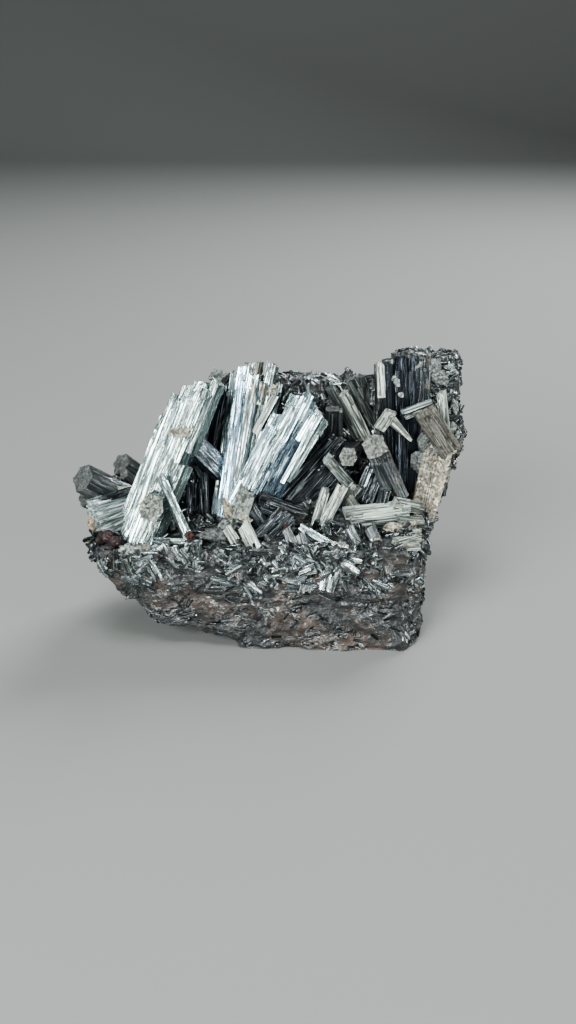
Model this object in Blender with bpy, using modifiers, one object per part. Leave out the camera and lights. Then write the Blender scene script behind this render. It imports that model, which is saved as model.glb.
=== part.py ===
"""A manganite specimen: bundles of striated crystals standing in a hollow of massive manganese ore.

Metres, +Z up. X runs to the right along the broken front face, Y to the back. The origin is on the flat
broken face that the specimen rests on, under the middle of the whole. Every length below is in millimetres
until MM turns it into metres.
"""

import math
import random
from dataclasses import dataclass

import bmesh
import bpy
from mathutils import Matrix, Vector, noise

MM = 0.001
GAP = 0.3  # clear space between a crystal and whatever it stands in or against

# Heights and reaches of the ore
SEAT = 35  # top of the block that the crystals stand on
FRONT = -27  # broken front face
BACK = 28  # rear of the block
WALL_TOP = 77  # top of the wall behind the crystals
TOWER_TOP = 86  # top of the column of ore at the right
LEFT_END = -58
RIGHT_END = 66

# The point on the ground, about under the middle of the specimen, that the solids are made round
MIDDLE = (2.0, 1.2, 0.0)

# How the ore's surface is made
ROCK_VOXEL = 1.6
ROCK_FACES = 2000
COARSE_RELIEF, COARSE_SIZE = 1.8, 12.0
FINE_RELIEF, FINE_SIZE = 1.1, 5.0

TOWARDS_FRONT = (0.0, -1.0, 0.35)
BROAD_FACE = 0.72  # width of a crystal's broad face as a share of its whole width


# ---------------------------------------------------------------- shapes


@dataclass(frozen=True)
class Lump:
    """A block of ore with eight corners, the lower four and the upper four.

    Each four goes front left, front right, back right, back left.
    """

    low: tuple
    high: tuple


@dataclass(frozen=True)
class Crystal:
    """A prism along the line from foot to tip, whose broad faces look along facing."""

    foot: tuple
    tip: tuple
    width: float
    depth: float
    facing: tuple = TOWARDS_FRONT
    slope: float = 0.2  # rise of the end across the width, as a share of it
    taper: float = 0.96  # width at the tip as a share of the width at the foot
    sides: int = 6


@dataclass(frozen=True)
class Slat:
    """One crystal of a bundle: its place across the bundle at foot and tip, and the stretch that it fills."""

    at_foot: float
    at_tip: float
    width: float
    depth: float
    start: float = 0.0
    end: float = 1.0
    out: float = 0.0  # how far it stands forward of the bundle's middle
    slope: float = 0.2


def axes_of(foot, tip, facing):
    """The directions across, out of the broad face and along a crystal."""
    along = (Vector(tip) - Vector(foot)).normalized()
    out = Vector(facing)
    out = (out - out.project(along)).normalized()
    return along.cross(out), out, along


def bundle(foot, tip, slats, facing=TOWARDS_FRONT):
    """The crystals of a bundle whose middle line runs from foot to tip."""
    across, out, _ = axes_of(foot, tip, facing)
    foot, tip = Vector(foot), Vector(tip)
    crystals = []
    for slat in slats:
        low = foot + across * slat.at_foot + out * slat.out
        high = tip + across * slat.at_tip + out * slat.out
        crystals.append(
            Crystal(
                foot=tuple(low.lerp(high, slat.start)),
                tip=tuple(low.lerp(high, slat.end)),
                width=slat.width,
                depth=slat.depth,
                facing=facing,
                slope=slat.slope,
            )
        )
    return crystals


# ---------------------------------------------------------------- the crystals, by name


def leaning_slab_bundle():
    """The broad pale bundle at the left, stepped down along its left edge."""
    return bundle(
        (-42.0, -18.0, 33.5),
        (-20.6, -4.0, 83.5),
        (
            Slat(-5.4, -6.2, 2.6, 5.0, 0.02, 0.74, 0.0, 0.5),
            Slat(-3.8, -4.6, 3.2, 6.5, 0.0, 0.87, 0.4, 0.5),
            Slat(-1.7, -2.4, 3.4, 8.0, 0.0, 0.94, 0.2, 0.4),
            Slat(0.8, 0.6, 4.6, 8.6, 0.0, 0.99, 0.5),
            Slat(3.6, 3.6, 3.6, 7.6, 0.0, 0.97, 0.0, -0.3),
            Slat(6.0, 6.3, 2.8, 5.4, 0.60, 1.03, -0.4, -0.5),
            Slat(5.4, 6.6, 4.4, 6.4, 0.05, 0.53, 1.2, -0.1),
        ),
    ) + [
        # the stub that crosses its foot and looks out at the front
        Crystal((-33.6, -16.0, 46.4), (-35.4, -25.5, 48.6), 8.2, 8.6, facing=(0.3, 0, 1), slope=0.1),
    ]


def prop_blade():
    """The slender blade that leans on the foot of the slab bundle."""
    return [Crystal((-24.6, -22.6, 37.5), (-32.8, -20.6, 57.4), 2.9, 1.9, slope=0.3)]


def cross_blades():
    """Two dark blades that cross behind the slab bundle."""
    return [
        Crystal((-15.0, 3.2, 50.2), (-24.4, -2.6, 62.6), 7.4, 4.4),
        Crystal((-17.5, 4.6, 38.0), (-23.2, 2.4, 54.0), 5.6, 4.6),
        Crystal((-20.8, -2.4, 35.0), (-21.4, 2.4, 50.0), 4.6, 4.0),
        Crystal((-25.0, -4.0, 35.0), (-24.6, -0.6, 47.4), 4.4, 4.0),
    ]


def tall_centre_bundle():
    """The upright bundle in the middle, with its rough capped top."""
    return bundle(
        (-13.0, -2.0, 34.5),
        (-3.0, 12.0, 84.5),
        (
            Slat(-4.0, -6.4, 3.4, 6.0, 0.0, 0.92, -0.6),
            Slat(-1.0, -3.3, 4.0, 8.6, 0.0, 0.965, 0.4),
            Slat(2.0, 0.5, 3.9, 7.6, 0.0, 0.93, 0.0),
            Slat(4.0, 4.9, 3.6, 5.4, 0.30, 1.02, -1.4, -0.3),
            Slat(5.8, 8.6, 3.2, 4.2, 0.42, 0.90, -2.6, -0.2),
            Slat(-2.0, -0.9, 5.4, 6.6, 0.93, 1.0, 0.8, 0.3),
            Slat(2.2, 2.8, 4.6, 6.0, 0.76, 0.90, 1.0, -0.3),
        ),
    )


def slim_blade():
    """The thin blade caught between the centre bundle and the fan."""
    return [Crystal((-3.6, 5.2, 63.0), (3.2, 8.6, 74.6), 2.6, 1.8)]


def right_fan_bundle():
    """The bright bundle that spreads up to the right from the middle of the hollow."""
    return bundle(
        (-1.0, -4.5, 36.5),
        (13.4, 8.5, 75.2),
        (
            Slat(-8.0, -6.4, 3.2, 6.4, 0.02, 0.98, -0.2),
            Slat(-5.4, -4.0, 3.4, 8.0, 0.0, 1.01, 0.4),
            Slat(-2.6, -1.4, 3.4, 8.4, 0.0, 1.0, 0.1),
            Slat(0.2, 1.2, 3.4, 8.0, 0.0, 0.985, 0.5, -0.2),
            Slat(2.9, 3.9, 3.2, 7.4, 0.16, 0.94, -0.1, -0.3),
            Slat(5.4, 6.8, 3.2, 6.6, 0.30, 0.90, 0.6, -0.4),
            Slat(8.0, 9.6, 3.4, 6.4, 0.24, 0.905, 0.0, -0.3),
        ),
    )


def dark_fan_blades():
    """The dark blades that carry on the fan to the right, in its shade."""
    return bundle(
        (8.5, 2.5, 35.0),
        (27.6, 13.0, 56.5),
        (
            Slat(-5.2, -5.6, 3.4, 5.4, 0.1, 0.96, -0.4),
            Slat(-2.4, -2.8, 3.4, 6.2, 0.0, 1.0, 0.2),
            Slat(0.4, 0.2, 3.4, 6.2, 0.0, 1.0, -0.2),
            Slat(3.2, 3.0, 3.4, 5.8, 0.0, 0.92, 0.3),
            Slat(5.8, 5.6, 3.0, 5.0, 0.05, 0.8, -0.3),
        ),
    )


def grey_block_crystal():
    """The short square crystal behind the top of the fan."""
    return [
        Crystal((21.7, 17.6, 56.0), (21.9, 15.6, 68.0), 5.0, 4.4, sides=4, slope=0.0),
        Crystal((24.6, 16.6, 58.0), (24.4, 14.8, 67.6), 1.9, 2.6, slope=0.0),
    ]


def back_wall_spray():
    """Crystals that radiate over the wall behind the hollow."""
    return [
        Crystal((33.5, 18.4, 56.5), (25.4, 18.6, 72.6), 4.2, 3.6),
        Crystal((30.4, 19.8, 57.0), (21.2, 19.4, 74.2), 3.0, 3.0),
        Crystal((36.0, 20.0, 61.0), (28.2, 19.4, 77.2), 2.8, 3.0),
        Crystal((34.0, 21.0, 64.0), (31.6, 19.6, 78.0), 3.0, 3.0),
    ]


def hex_stub_small():
    """A broken six-sided crystal end in the hollow."""
    return [Crystal((29.6, 14.5, 53.5), (26.7, -0.5, 56.6), 6.2, 6.2, facing=(0, 0, 1), slope=0.1)]


def hex_stub_large():
    """The large broken crystal end, whose prism runs down behind it to the right."""
    return [
        Crystal((43.4, 0.8, 42.0), (35.6, -0.4, 59.6), 8.6, 7.6, facing=(0.5, 0, 1), slope=0.2),
    ]


def dark_wedge_crystals():
    """Dark prisms on the floor of the hollow, below the large stub."""
    return [
        Crystal((30.5, 2.5, 36.5), (36.4, 5.6, 51.4), 7.4, 5.0, slope=0.5),
        Crystal((36.4, -5.0, 36.0), (38.8, -4.4, 47.0), 4.0, 3.6),
    ]


def striated_rod():
    """The short striated rod at the mouth of the hollow."""
    return [Crystal((28.2, 5.4, 44.0), (19.8, -0.6, 56.0), 3.8, 3.4)]


def hollow_rods():
    """Upright rods at the front of the hollow."""
    return [
        Crystal((15.2, -8.4, 34.5), (19.2, -5.2, 47.4), 2.8, 2.8),
        Crystal((17.4, -8.6, 33.5), (24.8, -4.2, 47.6), 4.0, 3.4),
        Crystal((21.0, -2.4, 35.0), (29.6, 0.4, 46.4), 4.4, 4.0),
        Crystal((31.4, -3.4, 37.0), (27.2, -2.2, 43.6), 2.8, 2.6),
    ]


def lying_pale_crystals():
    """Pale crystals that lie along the front of the hollow at the right."""
    return [
        Crystal((47.0, -6.0, 41.6), (25.4, -8.2, 39.8), 3.2, 3.4),
        Crystal((46.2, -8.4, 38.6), (27.4, -10.2, 37.2), 3.6, 4.0),
        Crystal((51.0, -3.0, 39.6), (41.6, -7.8, 43.4), 3.2, 3.2),
        Crystal((50.6, -8.0, 36.4), (42.0, -11.4, 38.6), 3.4, 3.6),
    ]


def slanting_front_blade():
    """The slender blade that slants down over the front edge."""
    return [Crystal((25.2, -23.4, 32.6), (11.3, -16.6, 38.4), 2.5, 1.9)]


def layered_foot_crystals():
    """Dark layered crystals in front of the fan's foot."""
    return [
        Crystal((12.0, -8.6, 38.6), (-2.2, -9.2, 44.4), 6.6, 5.4, slope=0.4),
        Crystal((0.2, -12.0, 35.0), (-5.2, -8.6, 43.4), 4.6, 4.4),
    ]


def dark_foot_bundle():
    """The bundle of dark slats below the fan."""
    return bundle(
        (-3.6, -18.6, 31.0),
        (7.0, -11.8, 40.4),
        (
            Slat(-3.2, -3.0, 2.8, 4.4, 0.0, 0.95, 0.2),
            Slat(-0.8, -0.8, 2.8, 5.2, 0.0, 1.02, -0.2),
            Slat(1.6, 1.6, 2.8, 5.0, 0.0, 1.0, 0.3),
            Slat(3.9, 3.8, 2.6, 4.4, 0.05, 0.9, -0.2),
        ),
    )


def pale_foot_shards():
    """Bright broken shards at the foot of the centre bundle."""
    return [
        Crystal((-2.4, -24.0, 31.6), (-7.2, -20.0, 41.0), 4.6, 3.2, slope=0.5),
        Crystal((-7.4, -22.6, 31.8), (-12.4, -19.4, 39.6), 3.4, 3.0),
        Crystal((-9.6, -11.4, 33.6), (-7.8, -9.4, 46.8), 6.4, 4.2, slope=-0.4),
    ]


def front_lump_crystals():
    """Stout crystals on the front edge, right of the middle."""
    return [
        Crystal((10.8, -24.6, 30.0), (6.6, -18.2, 38.2), 3.2, 3.0),
        Crystal((13.0, -22.0, 29.0), (10.4, -18.4, 36.6), 5.0, 4.4),
        Crystal((30.8, -20.6, 30.6), (26.6, -15.6, 37.6), 3.6, 3.2),
        Crystal((37.0, -20.0, 31.0), (33.4, -15.0, 37.4), 4.4, 3.8),
    ]


def lying_needle():
    """The needle that lies along the front edge at the left."""
    return [Crystal((-20.2, -22.6, 35.2), (-36.0, -23.4, 36.8), 2.0, 2.0, facing=(0, -1, 1))]


def left_stub_block():
    """The thick dark crystal at the left end, broken off square."""
    return [
        Crystal((-45.0, -6.0, 43.0), (-58.0, -14.4, 54.4), 9.4, 8.4, facing=(0.2, -0.4, 1), slope=0.15),
        Crystal((-48.0, -4.0, 39.0), (-58.4, -11.6, 46.6), 5.6, 5.4, facing=(0, -0.5, 1)),
    ]


def left_rear_stub():
    """The second broken crystal at the left, behind the slab bundle."""
    return [Crystal((-37.6, 9.6, 41.0), (-48.2, 2.2, 53.2), 7.4, 7.0, facing=(0.2, -0.4, 1))]


def left_thin_blades():
    """Thin dark blades that lie between the two stubs."""
    return [
        Crystal((-40.4, -10.0, 49.6), (-54.4, -18.4, 47.6), 2.6, 2.2),
        Crystal((-39.0, -2.0, 49.0), (-49.0, -6.5, 56.4), 2.6, 2.4),
    ]


def left_low_spray():
    """The fan of slats that spreads down to the left, under the stub."""
    return bundle(
        (-42.4, -9.6, 43.2),
        (-53.4, -21.6, 43.0),
        (
            Slat(3.8, 4.6, 3.0, 4.4, 0.0, 0.98, 0.0),
            Slat(1.6, 1.8, 2.8, 4.8, 0.0, 1.04, 0.4),
            Slat(-0.8, -0.9, 2.8, 4.8, 0.0, 1.05, 0.0),
            Slat(-3.0, -3.4, 2.8, 4.4, 0.0, 1.0, 0.4),
        ),
    )


def tower_columns():
    """The tall dark crystals that stand against the column of ore at the right."""
    return bundle(
        (46.4, 9.0, 41.0),
        (45.8, 15.0, 86.5),
        (
            Slat(-7.6, -9.0, 3.2, 4.6, 0.34, 0.95, -0.4, -0.4),
            Slat(-4.8, -5.8, 4.2, 7.0, 0.0, 0.97, 0.0),
            Slat(-1.2, -2.0, 4.6, 8.6, 0.0, 1.0, 0.8),
            Slat(2.4, 2.2, 4.4, 8.0, 0.02, 1.0, 0.0, 0.1),
            Slat(5.8, 6.0, 4.4, 7.6, 0.06, 0.99, -0.6, 0.1),
        ),
    )


def brown_blade():
    """The broad stained blade that slants across the right-hand column."""
    return [Crystal((61.4, 5.4, 55.4), (47.8, 2.4, 75.4), 7.2, 3.2, slope=-0.3)]


def tower_small_blades():
    """Small bright blades on the face of the right-hand column."""
    return [
        Crystal((59.4, 8.6, 61.6), (57.2, 8.0, 76.0), 2.8, 3.4),
        Crystal((55.0, 6.0, 74.4), (43.6, 1.6, 70.8), 2.4, 2.4),
    ]


def pale_flank_blades():
    """The pale blades that run down the flank of the right-hand column."""
    return [
        Crystal((54.0, 4.0, 33.0), (59.6, 6.4, 56.4), 5.0, 4.4),
        Crystal((51.0, 4.6, 36.0), (54.2, 5.6, 56.6), 5.6, 4.4),
    ]


def hollow_spikes():
    """Two short spikes between the wall and the tall dark crystals."""
    return [Crystal((36.0, 7.0, 62.4), (40.2, 3.0, 70.6), 3.6, 3.0)]


def bright_spike():
    """The thin bright spike on the face of the tall dark crystals."""
    return [Crystal((47.6, 4.0, 60.8), (40.4, 2.8, 68.4), 2.0, 1.6, slope=0.4)]


# ---------------------------------------------------------------- finishes

SILVER = ("silver_crystal", (0.62, 0.65, 0.66), 0.3, 0.9)
DARK = ("dark_crystal", (0.10, 0.11, 0.12), 0.28, 0.9)
STAINED = ("stained_crystal", (0.46, 0.40, 0.33), 0.5, 0.4)
ROUGH = ("rough_crystal_end", (0.36, 0.37, 0.35), 0.6, 0.5)
ORE = ("massive_ore", (0.12, 0.11, 0.105), 0.6, 0.4)

# Each crystal node, in the order in which it takes its room: a later one is cut where it meets an earlier one
CRYSTAL_NODES = (
    (leaning_slab_bundle, SILVER),
    (tall_centre_bundle, SILVER),
    (right_fan_bundle, SILVER),
    (tower_columns, DARK),
    (prop_blade, SILVER),
    (slim_blade, SILVER),
    (cross_blades, DARK),
    (hex_stub_large, ROUGH),
    (hex_stub_small, ROUGH),
    (striated_rod, SILVER),
    (bright_spike, SILVER),
    (brown_blade, STAINED),
    (tower_small_blades, SILVER),
    (pale_flank_blades, STAINED),
    (grey_block_crystal, ROUGH),
    (back_wall_spray, SILVER),
    (hollow_spikes, SILVER),
    (hollow_rods, SILVER),
    (dark_wedge_crystals, DARK),
    (dark_fan_blades, DARK),
    (lying_pale_crystals, SILVER),
    (slanting_front_blade, SILVER),
    (dark_foot_bundle, DARK),
    (pale_foot_shards, STAINED),
    (layered_foot_crystals, DARK),
    (front_lump_crystals, ROUGH),
    (lying_needle, SILVER),
    (left_stub_block, ROUGH),
    (left_rear_stub, ROUGH),
    (left_thin_blades, DARK),
    (left_low_spray, SILVER),
)


# ---------------------------------------------------------------- the ore

ORE_LUMPS = (
    # the block under the crystals, with its flat underside, and its right flank set back from the corner
    Lump(
        ((-6, FRONT + 1, -4), (43, FRONT, -4), (48, 20, -4), (-35, 18, -4)),
        ((-32, FRONT, SEAT), (44, FRONT, SEAT), (52, BACK, SEAT), (-34, BACK - 4, SEAT)),
    ),
    Lump(
        ((42, FRONT + 1, -4), (51, -14, -4), (53, 21, -4), (30, 20, -4)),
        ((43, FRONT + 1, SEAT), (53, -13, SEAT + 2), (57, BACK, SEAT + 2), (30, BACK - 2, SEAT + 1)),
    ),
    # the mound round the crystals' feet
    Lump(
        ((-50, -20, 28), (44, -20, 28), (50, 16, 28), (-50, 16, 28)),
        ((-43, -7, 38), (35, -9, 39), (38, 14, 42), (-38, 13, 41)),
    ),
    # its left end, which climbs away from the ground
    Lump(
        ((-39, FRONT + 3, 9), (4, FRONT, -1), (4, 16, -1), (-40, 10, 6)),
        ((-57, FRONT + 3, SEAT), (-4, FRONT, SEAT), (-4, 22, SEAT), (-56, 18, SEAT)),
    ),
    Lump(
        ((-47, FRONT + 5, 15), (-20, FRONT + 3, 12), (-20, 12, 12), (-48, 10, 15)),
        ((LEFT_END, FRONT + 5, SEAT - 1), (-20, FRONT + 2, SEAT - 1), (-20, 20, SEAT), (LEFT_END, 16, SEAT)),
    ),
    # the ledge along the top of the front face, and the swelling at its lower right
    Lump(
        ((-51, FRONT + 2, 26), (44, FRONT - 1, 26), (44, 0, 26), (-50, 0, 26)),
        ((-52, FRONT + 1, SEAT), (45, FRONT - 1, SEAT), (45, 0, SEAT), (-51, 0, SEAT)),
    ),
    Lump(
        ((14, FRONT - 1, -4), (42, FRONT - 1, -4), (42, 0, -4), (14, 0, -4)),
        ((10, FRONT - 1, 12), (43, FRONT - 1, 14), (43, 0, 14), (10, 0, 12)),
    ),
    # the wall behind, which rises to the right
    Lump(
        ((-56, 13, 18), (56, 12, 18), (56, BACK - 1, 12), (-48, BACK - 4, 16)),
        ((-16, 22, WALL_TOP), (40, 21, WALL_TOP), (40, BACK + 2, WALL_TOP), (-13, BACK + 2, WALL_TOP - 1)),
    ),
    # the column at the right: its waist, then its head
    Lump(
        ((39, 5, 28), (54, 5, 28), (57, BACK - 1, 28), (38, BACK - 2, 28)),
        ((40, 10, 60), (RIGHT_END - 1, 10, 60), (RIGHT_END, BACK + 1, 60), (40, BACK + 2, 60)),
    ),
    Lump(
        ((40, 13, 52), (RIGHT_END - 1, 10, 54), (RIGHT_END, BACK, 52), (40, BACK + 1, 54)),
        ((41, 18, TOWER_TOP), (RIGHT_END - 2, 18, TOWER_TOP), (RIGHT_END - 3, BACK + 1, TOWER_TOP),
         (42, BACK + 2, TOWER_TOP - 1)),
    ),
)

# Bands of the ore that carry small crystals: how many, lowest and highest (x, y, z), and their length
CRUST_BANDS = (
    (44, (-60, -32, 25), (56, -19, 38), 6.0),
    (26, (-56, -19, 32), (54, 12, 44), 7.0),
    (16, (-20, 14, 60), (42, 34, 84), 6.0),
    (18, (44, 0, 44), (70, 34, 90), 5.5),
    (8, (-58, -32, 4), (56, -20, 25), 4.0),
    (6, (-60, 14, 6), (66, 34, 74), 5.0),
)
CRUST_SEED = 11


def ore_lump(lump):
    """One block of ore: a cube whose eight corners go to those of the lump."""
    bpy.ops.mesh.primitive_cube_add(size=2)
    block = bpy.context.object
    for corner in block.data.vertices:
        four = lump.high if corner.co.z > 0 else lump.low
        front_left, front_right, back_right, back_left = four
        if corner.co.y < 0:
            place = front_right if corner.co.x > 0 else front_left
        else:
            place = back_right if corner.co.x > 0 else back_left
        corner.co = (Vector(place) - Vector(MIDDLE)) * MM
    return block


def relief(point):
    """How far the ore's surface stands out at a point: broad swells, and small angular cells."""
    broad = noise.noise(point / COARSE_SIZE)
    first, second = noise.voronoi(point / FINE_SIZE)[0][:2]
    return COARSE_RELIEF * broad + FINE_RELIEF * (second - first - 0.4)


def roughen(solid):
    """Pushes each vertex in or out along its normal by the ore's relief."""
    for vertex in solid.data.vertices:
        vertex.co += vertex.normal * relief(vertex.co / MM) * MM


def remesh(solid, voxel):
    """Fuses what a mesh holds into one even skin."""
    modifier = solid.modifiers.new("even_skin", "REMESH")
    modifier.mode = "VOXEL"
    modifier.voxel_size = voxel * MM
    apply_modifiers(solid)


def thin_out(solid, faces):
    """Brings a mesh down to about that many triangles, which leaves broken-looking facets."""
    modifier = solid.modifiers.new("facets", "DECIMATE")
    modifier.ratio = faces / (2 * len(solid.data.polygons))
    modifier.use_collapse_triangulate = True
    apply_modifiers(solid)


def cut_flat_below(solid):
    """Takes off everything below z = 0, which leaves the face that the specimen rests on."""
    bpy.ops.mesh.primitive_cube_add(size=1)
    ground = bpy.context.object
    ground.scale = (0.4, 0.4, 0.05)
    ground.location = (0, 0, -0.025)
    combine(solid, [ground], "DIFFERENCE")


def within(point, low, high):
    """Whether a point lies in the box between two corners."""
    return all(a < c < b for a, b, c in zip(low, high, point))


def crust_crystals(ore):
    """Small crystals scattered on the bands of the ore, each rooted in it and leaning out."""
    chance = random.Random(CRUST_SEED)
    faces = [face for face in ore.data.polygons if face.area > (0.8 * MM) ** 2]
    crystals = []
    for count, low, high, length in CRUST_BANDS:
        inside = [face for face in faces if within(face.center / MM + Vector(MIDDLE), low, high)]
        for face in chance.sample(inside, min(count, len(inside))):
            aside = Vector([chance.uniform(-1, 1) for _ in range(3)])
            aside = (aside - aside.project(face.normal)).normalized()
            lean = (aside + face.normal * chance.uniform(0.3, 0.9)).normalized()
            reach = length * chance.uniform(0.7, 1.3)
            centre = face.center / MM + Vector(MIDDLE)
            width = reach * chance.uniform(0.28, 0.5)
            crystals.append(
                Crystal(
                    foot=tuple(centre - lean * reach * 0.55 + face.normal * 0.3),
                    tip=tuple(centre + lean * reach * 0.45 + face.normal * 0.3),
                    width=width,
                    depth=width * chance.uniform(0.6, 0.95),
                    facing=tuple(face.normal + Vector((0.01, 0.02, 0.03))),
                    slope=chance.uniform(-0.4, 0.4),
                    sides=chance.choice((4, 4, 5)),
                )
            )
    return crystals


def make_ore():
    """The block, wall and column of ore as one solid, with small crystals grown on it."""
    blocks = [ore_lump(lump) for lump in ORE_LUMPS]
    ore = join(blocks)
    ore.name = "ore_matrix"
    remesh(ore, ROCK_VOXEL)
    roughen(ore)
    thin_out(ore, ROCK_FACES)
    cut_flat_below(ore)
    combine(ore, [crystal_solid(crystal) for crystal in crust_crystals(ore)], "UNION")
    return ore


# ---------------------------------------------------------------- solids


def crystal_solid(crystal, grow=0.0):
    """A closed prism for one crystal. grow makes it larger all round, for use as a cutter."""
    across, out, along = axes_of(crystal.foot, crystal.tip, crystal.facing)
    foot, tip = Vector(crystal.foot), Vector(crystal.tip)
    corner = grow / math.cos(math.pi / crystal.sides)
    half_width, half_depth = crystal.width / 2 + corner, crystal.depth / 2 + corner
    shape = bmesh.new()
    bmesh.ops.create_cone(
        shape,
        cap_ends=True,
        segments=crystal.sides,
        radius1=1,
        radius2=crystal.taper,
        depth=(tip - foot).length + 2 * grow,
    )
    if crystal.sides == 6:
        shape.transform(Matrix.Rotation(math.radians(30), 4, "Z"))
    for vertex in shape.verts:
        if crystal.sides == 6 and abs(vertex.co.x) < 0.8:
            vertex.co.x *= BROAD_FACE / 0.5
            vertex.co.y /= math.cos(math.radians(30))
        vertex.co.x *= half_width
        vertex.co.y *= half_depth
        if vertex.co.z > 0:
            vertex.co.z += crystal.slope * vertex.co.x
    turn = Matrix((across, -out, along)).transposed().to_4x4()
    middle = (foot + tip) / 2 - Vector(MIDDLE)
    shape.transform(Matrix.Scale(MM, 4) @ Matrix.Translation(middle) @ turn)
    mesh = bpy.data.meshes.new("crystal")
    shape.to_mesh(mesh)
    shape.free()
    solid = bpy.data.objects.new("crystal", mesh)
    bpy.context.scene.collection.objects.link(solid)
    return solid


def join(solids):
    """Puts several meshes into one object, still as separate shells."""
    bpy.ops.object.select_all(action="DESELECT")
    for solid in solids:
        solid.select_set(True)
    bpy.context.view_layer.objects.active = solids[0]
    bpy.ops.object.join()
    return solids[0]


def apply_modifiers(solid):
    """Makes what an object's modifiers show into its own mesh."""
    graph = bpy.context.evaluated_depsgraph_get()
    graph.update()
    made = bpy.data.meshes.new_from_object(solid.evaluated_get(graph))
    solid.modifiers.clear()
    solid.data = made


def combine(solid, others, operation):
    """Joins others to a solid, or cuts them from it, and removes them."""
    if not others:
        return
    if operation == "DIFFERENCE" and len(others) > 1:
        combine(others[0], others[1:], "UNION")
        others = others[:1]
    tools = bpy.data.collections.new("tools")
    bpy.context.scene.collection.children.link(tools)
    for other in others:
        for home in list(other.users_collection):
            home.objects.unlink(other)
        tools.objects.link(other)
    modifier = solid.modifiers.new(operation.lower(), "BOOLEAN")
    modifier.operation = operation
    modifier.operand_type = "COLLECTION"
    modifier.collection = tools
    modifier.solver = "EXACT"
    apply_modifiers(solid)
    for other in others:
        bpy.data.objects.remove(other)
    bpy.data.collections.remove(tools)


def keep_largest_body(solid):
    """Drops the crumbs that a cut leaves loose, and keeps the body with the most volume."""
    shape = bmesh.new()
    shape.from_mesh(solid.data)
    bmesh.ops.remove_doubles(shape, verts=shape.verts, dist=1e-7)
    bmesh.ops.triangulate(shape, faces=shape.faces)
    unseen, bodies = set(shape.verts), []
    while unseen:
        edge_of_body = [unseen.pop()]
        body = set(edge_of_body)
        while edge_of_body:
            for edge in edge_of_body.pop().link_edges:
                for vertex in edge.verts:
                    if vertex in unseen:
                        unseen.discard(vertex)
                        body.add(vertex)
                        edge_of_body.append(vertex)
        bodies.append(body)

    def volume(body):
        faces = {face for vertex in body for face in vertex.link_faces}
        return sum(f.verts[0].co.dot(f.verts[1].co.cross(f.verts[2].co)) for f in faces) / 6

    largest = max(bodies, key=volume)
    bmesh.ops.delete(shape, geom=[v for v in shape.verts if v not in largest], context="VERTS")
    shape.to_mesh(solid.data)
    shape.free()


def boxes_meet(first, second):
    """Whether the boxes round two lists of crystals come within a gap of each other."""

    def box(crystals):
        reach = max(max(c.width, c.depth) for c in crystals)
        ends = [Vector(end) for c in crystals for end in (c.foot, c.tip)]
        low = [min(end[i] for end in ends) - reach for i in range(3)]
        high = [max(end[i] for end in ends) + reach for i in range(3)]
        return low, high

    (low_a, high_a), (low_b, high_b) = box(first), box(second)
    return all(low_a[i] < high_b[i] and low_b[i] < high_a[i] for i in range(3))


def finish(solid, look):
    """Gives a solid its material, and puts it in the specimen's collection."""
    name, colour, roughness, metallic = look
    material = bpy.data.materials.get(name) or bpy.data.materials.new(name)
    material.use_nodes = True
    shader = material.node_tree.nodes["Principled BSDF"]
    shader.inputs["Base Color"].default_value = (*colour, 1)
    shader.inputs["Roughness"].default_value = roughness
    shader.inputs["Metallic"].default_value = metallic
    solid.data.materials.clear()
    solid.data.materials.append(material)
    specimen = bpy.data.collections.get("manganite_specimen")
    for home in list(solid.users_collection):
        home.objects.unlink(solid)
    specimen.objects.link(solid)


def make_crystal_node(build, look, earlier):
    """One crystal or bundle as one solid, cut back to a gap wherever it would meet an earlier one."""
    crystals = build()
    solids = [crystal_solid(crystal) for crystal in crystals]
    node, rest = solids[0], solids[1:]
    node.name = build.__name__
    combine(node, rest, "UNION")
    meeting = [crystal for other in earlier if boxes_meet(crystals, other) for crystal in other]
    combine(node, [crystal_solid(crystal, GAP) for crystal in meeting], "DIFFERENCE")
    keep_largest_body(node)
    finish(node, look)
    return crystals


def stand_over_origin(solids):
    """Moves the solids together, so that the middle of the box round them is over the origin."""
    corners = [corner.co for solid in solids for corner in solid.data.vertices]
    middle = Vector([(min(c[i] for c in corners) + max(c[i] for c in corners)) / 2 for i in range(2)] + [0])
    for solid in solids:
        solid.location = -middle


def main():
    """Clears the scene and builds the specimen."""
    for leftover in list(bpy.data.objects):
        bpy.data.objects.remove(leftover)
    specimen = bpy.data.collections.new("manganite_specimen")
    bpy.context.scene.collection.children.link(specimen)
    made = []
    for build, look in CRYSTAL_NODES:
        made.append(make_crystal_node(build, look, made))
    ore = make_ore()
    sockets = [crystal_solid(crystal, GAP) for crystals in made for crystal in crystals]
    combine(ore, sockets, "DIFFERENCE")
    keep_largest_body(ore)
    finish(ore, ORE)
    stand_over_origin(list(specimen.objects))


main()
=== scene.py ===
"""The visual model of a manganite specimen: striated crystals and the ore that they stand on.

Crystals, ore and lumps are written in millimetres, in the frame that the solids were laid out in, and
placed() brings their points to the specimen's own frame, in metres. The finishes and the studio's floor and
lamps are written in metres.
"""

import logging
import math
from dataclasses import dataclass, replace
from enum import Enum
from typing import Any, Callable, Iterable, Optional, Sequence, Union

import bpy
import numpy as np
from mathutils import Matrix, Vector, noise
from mathutils.bvhtree import BVHTree


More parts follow.
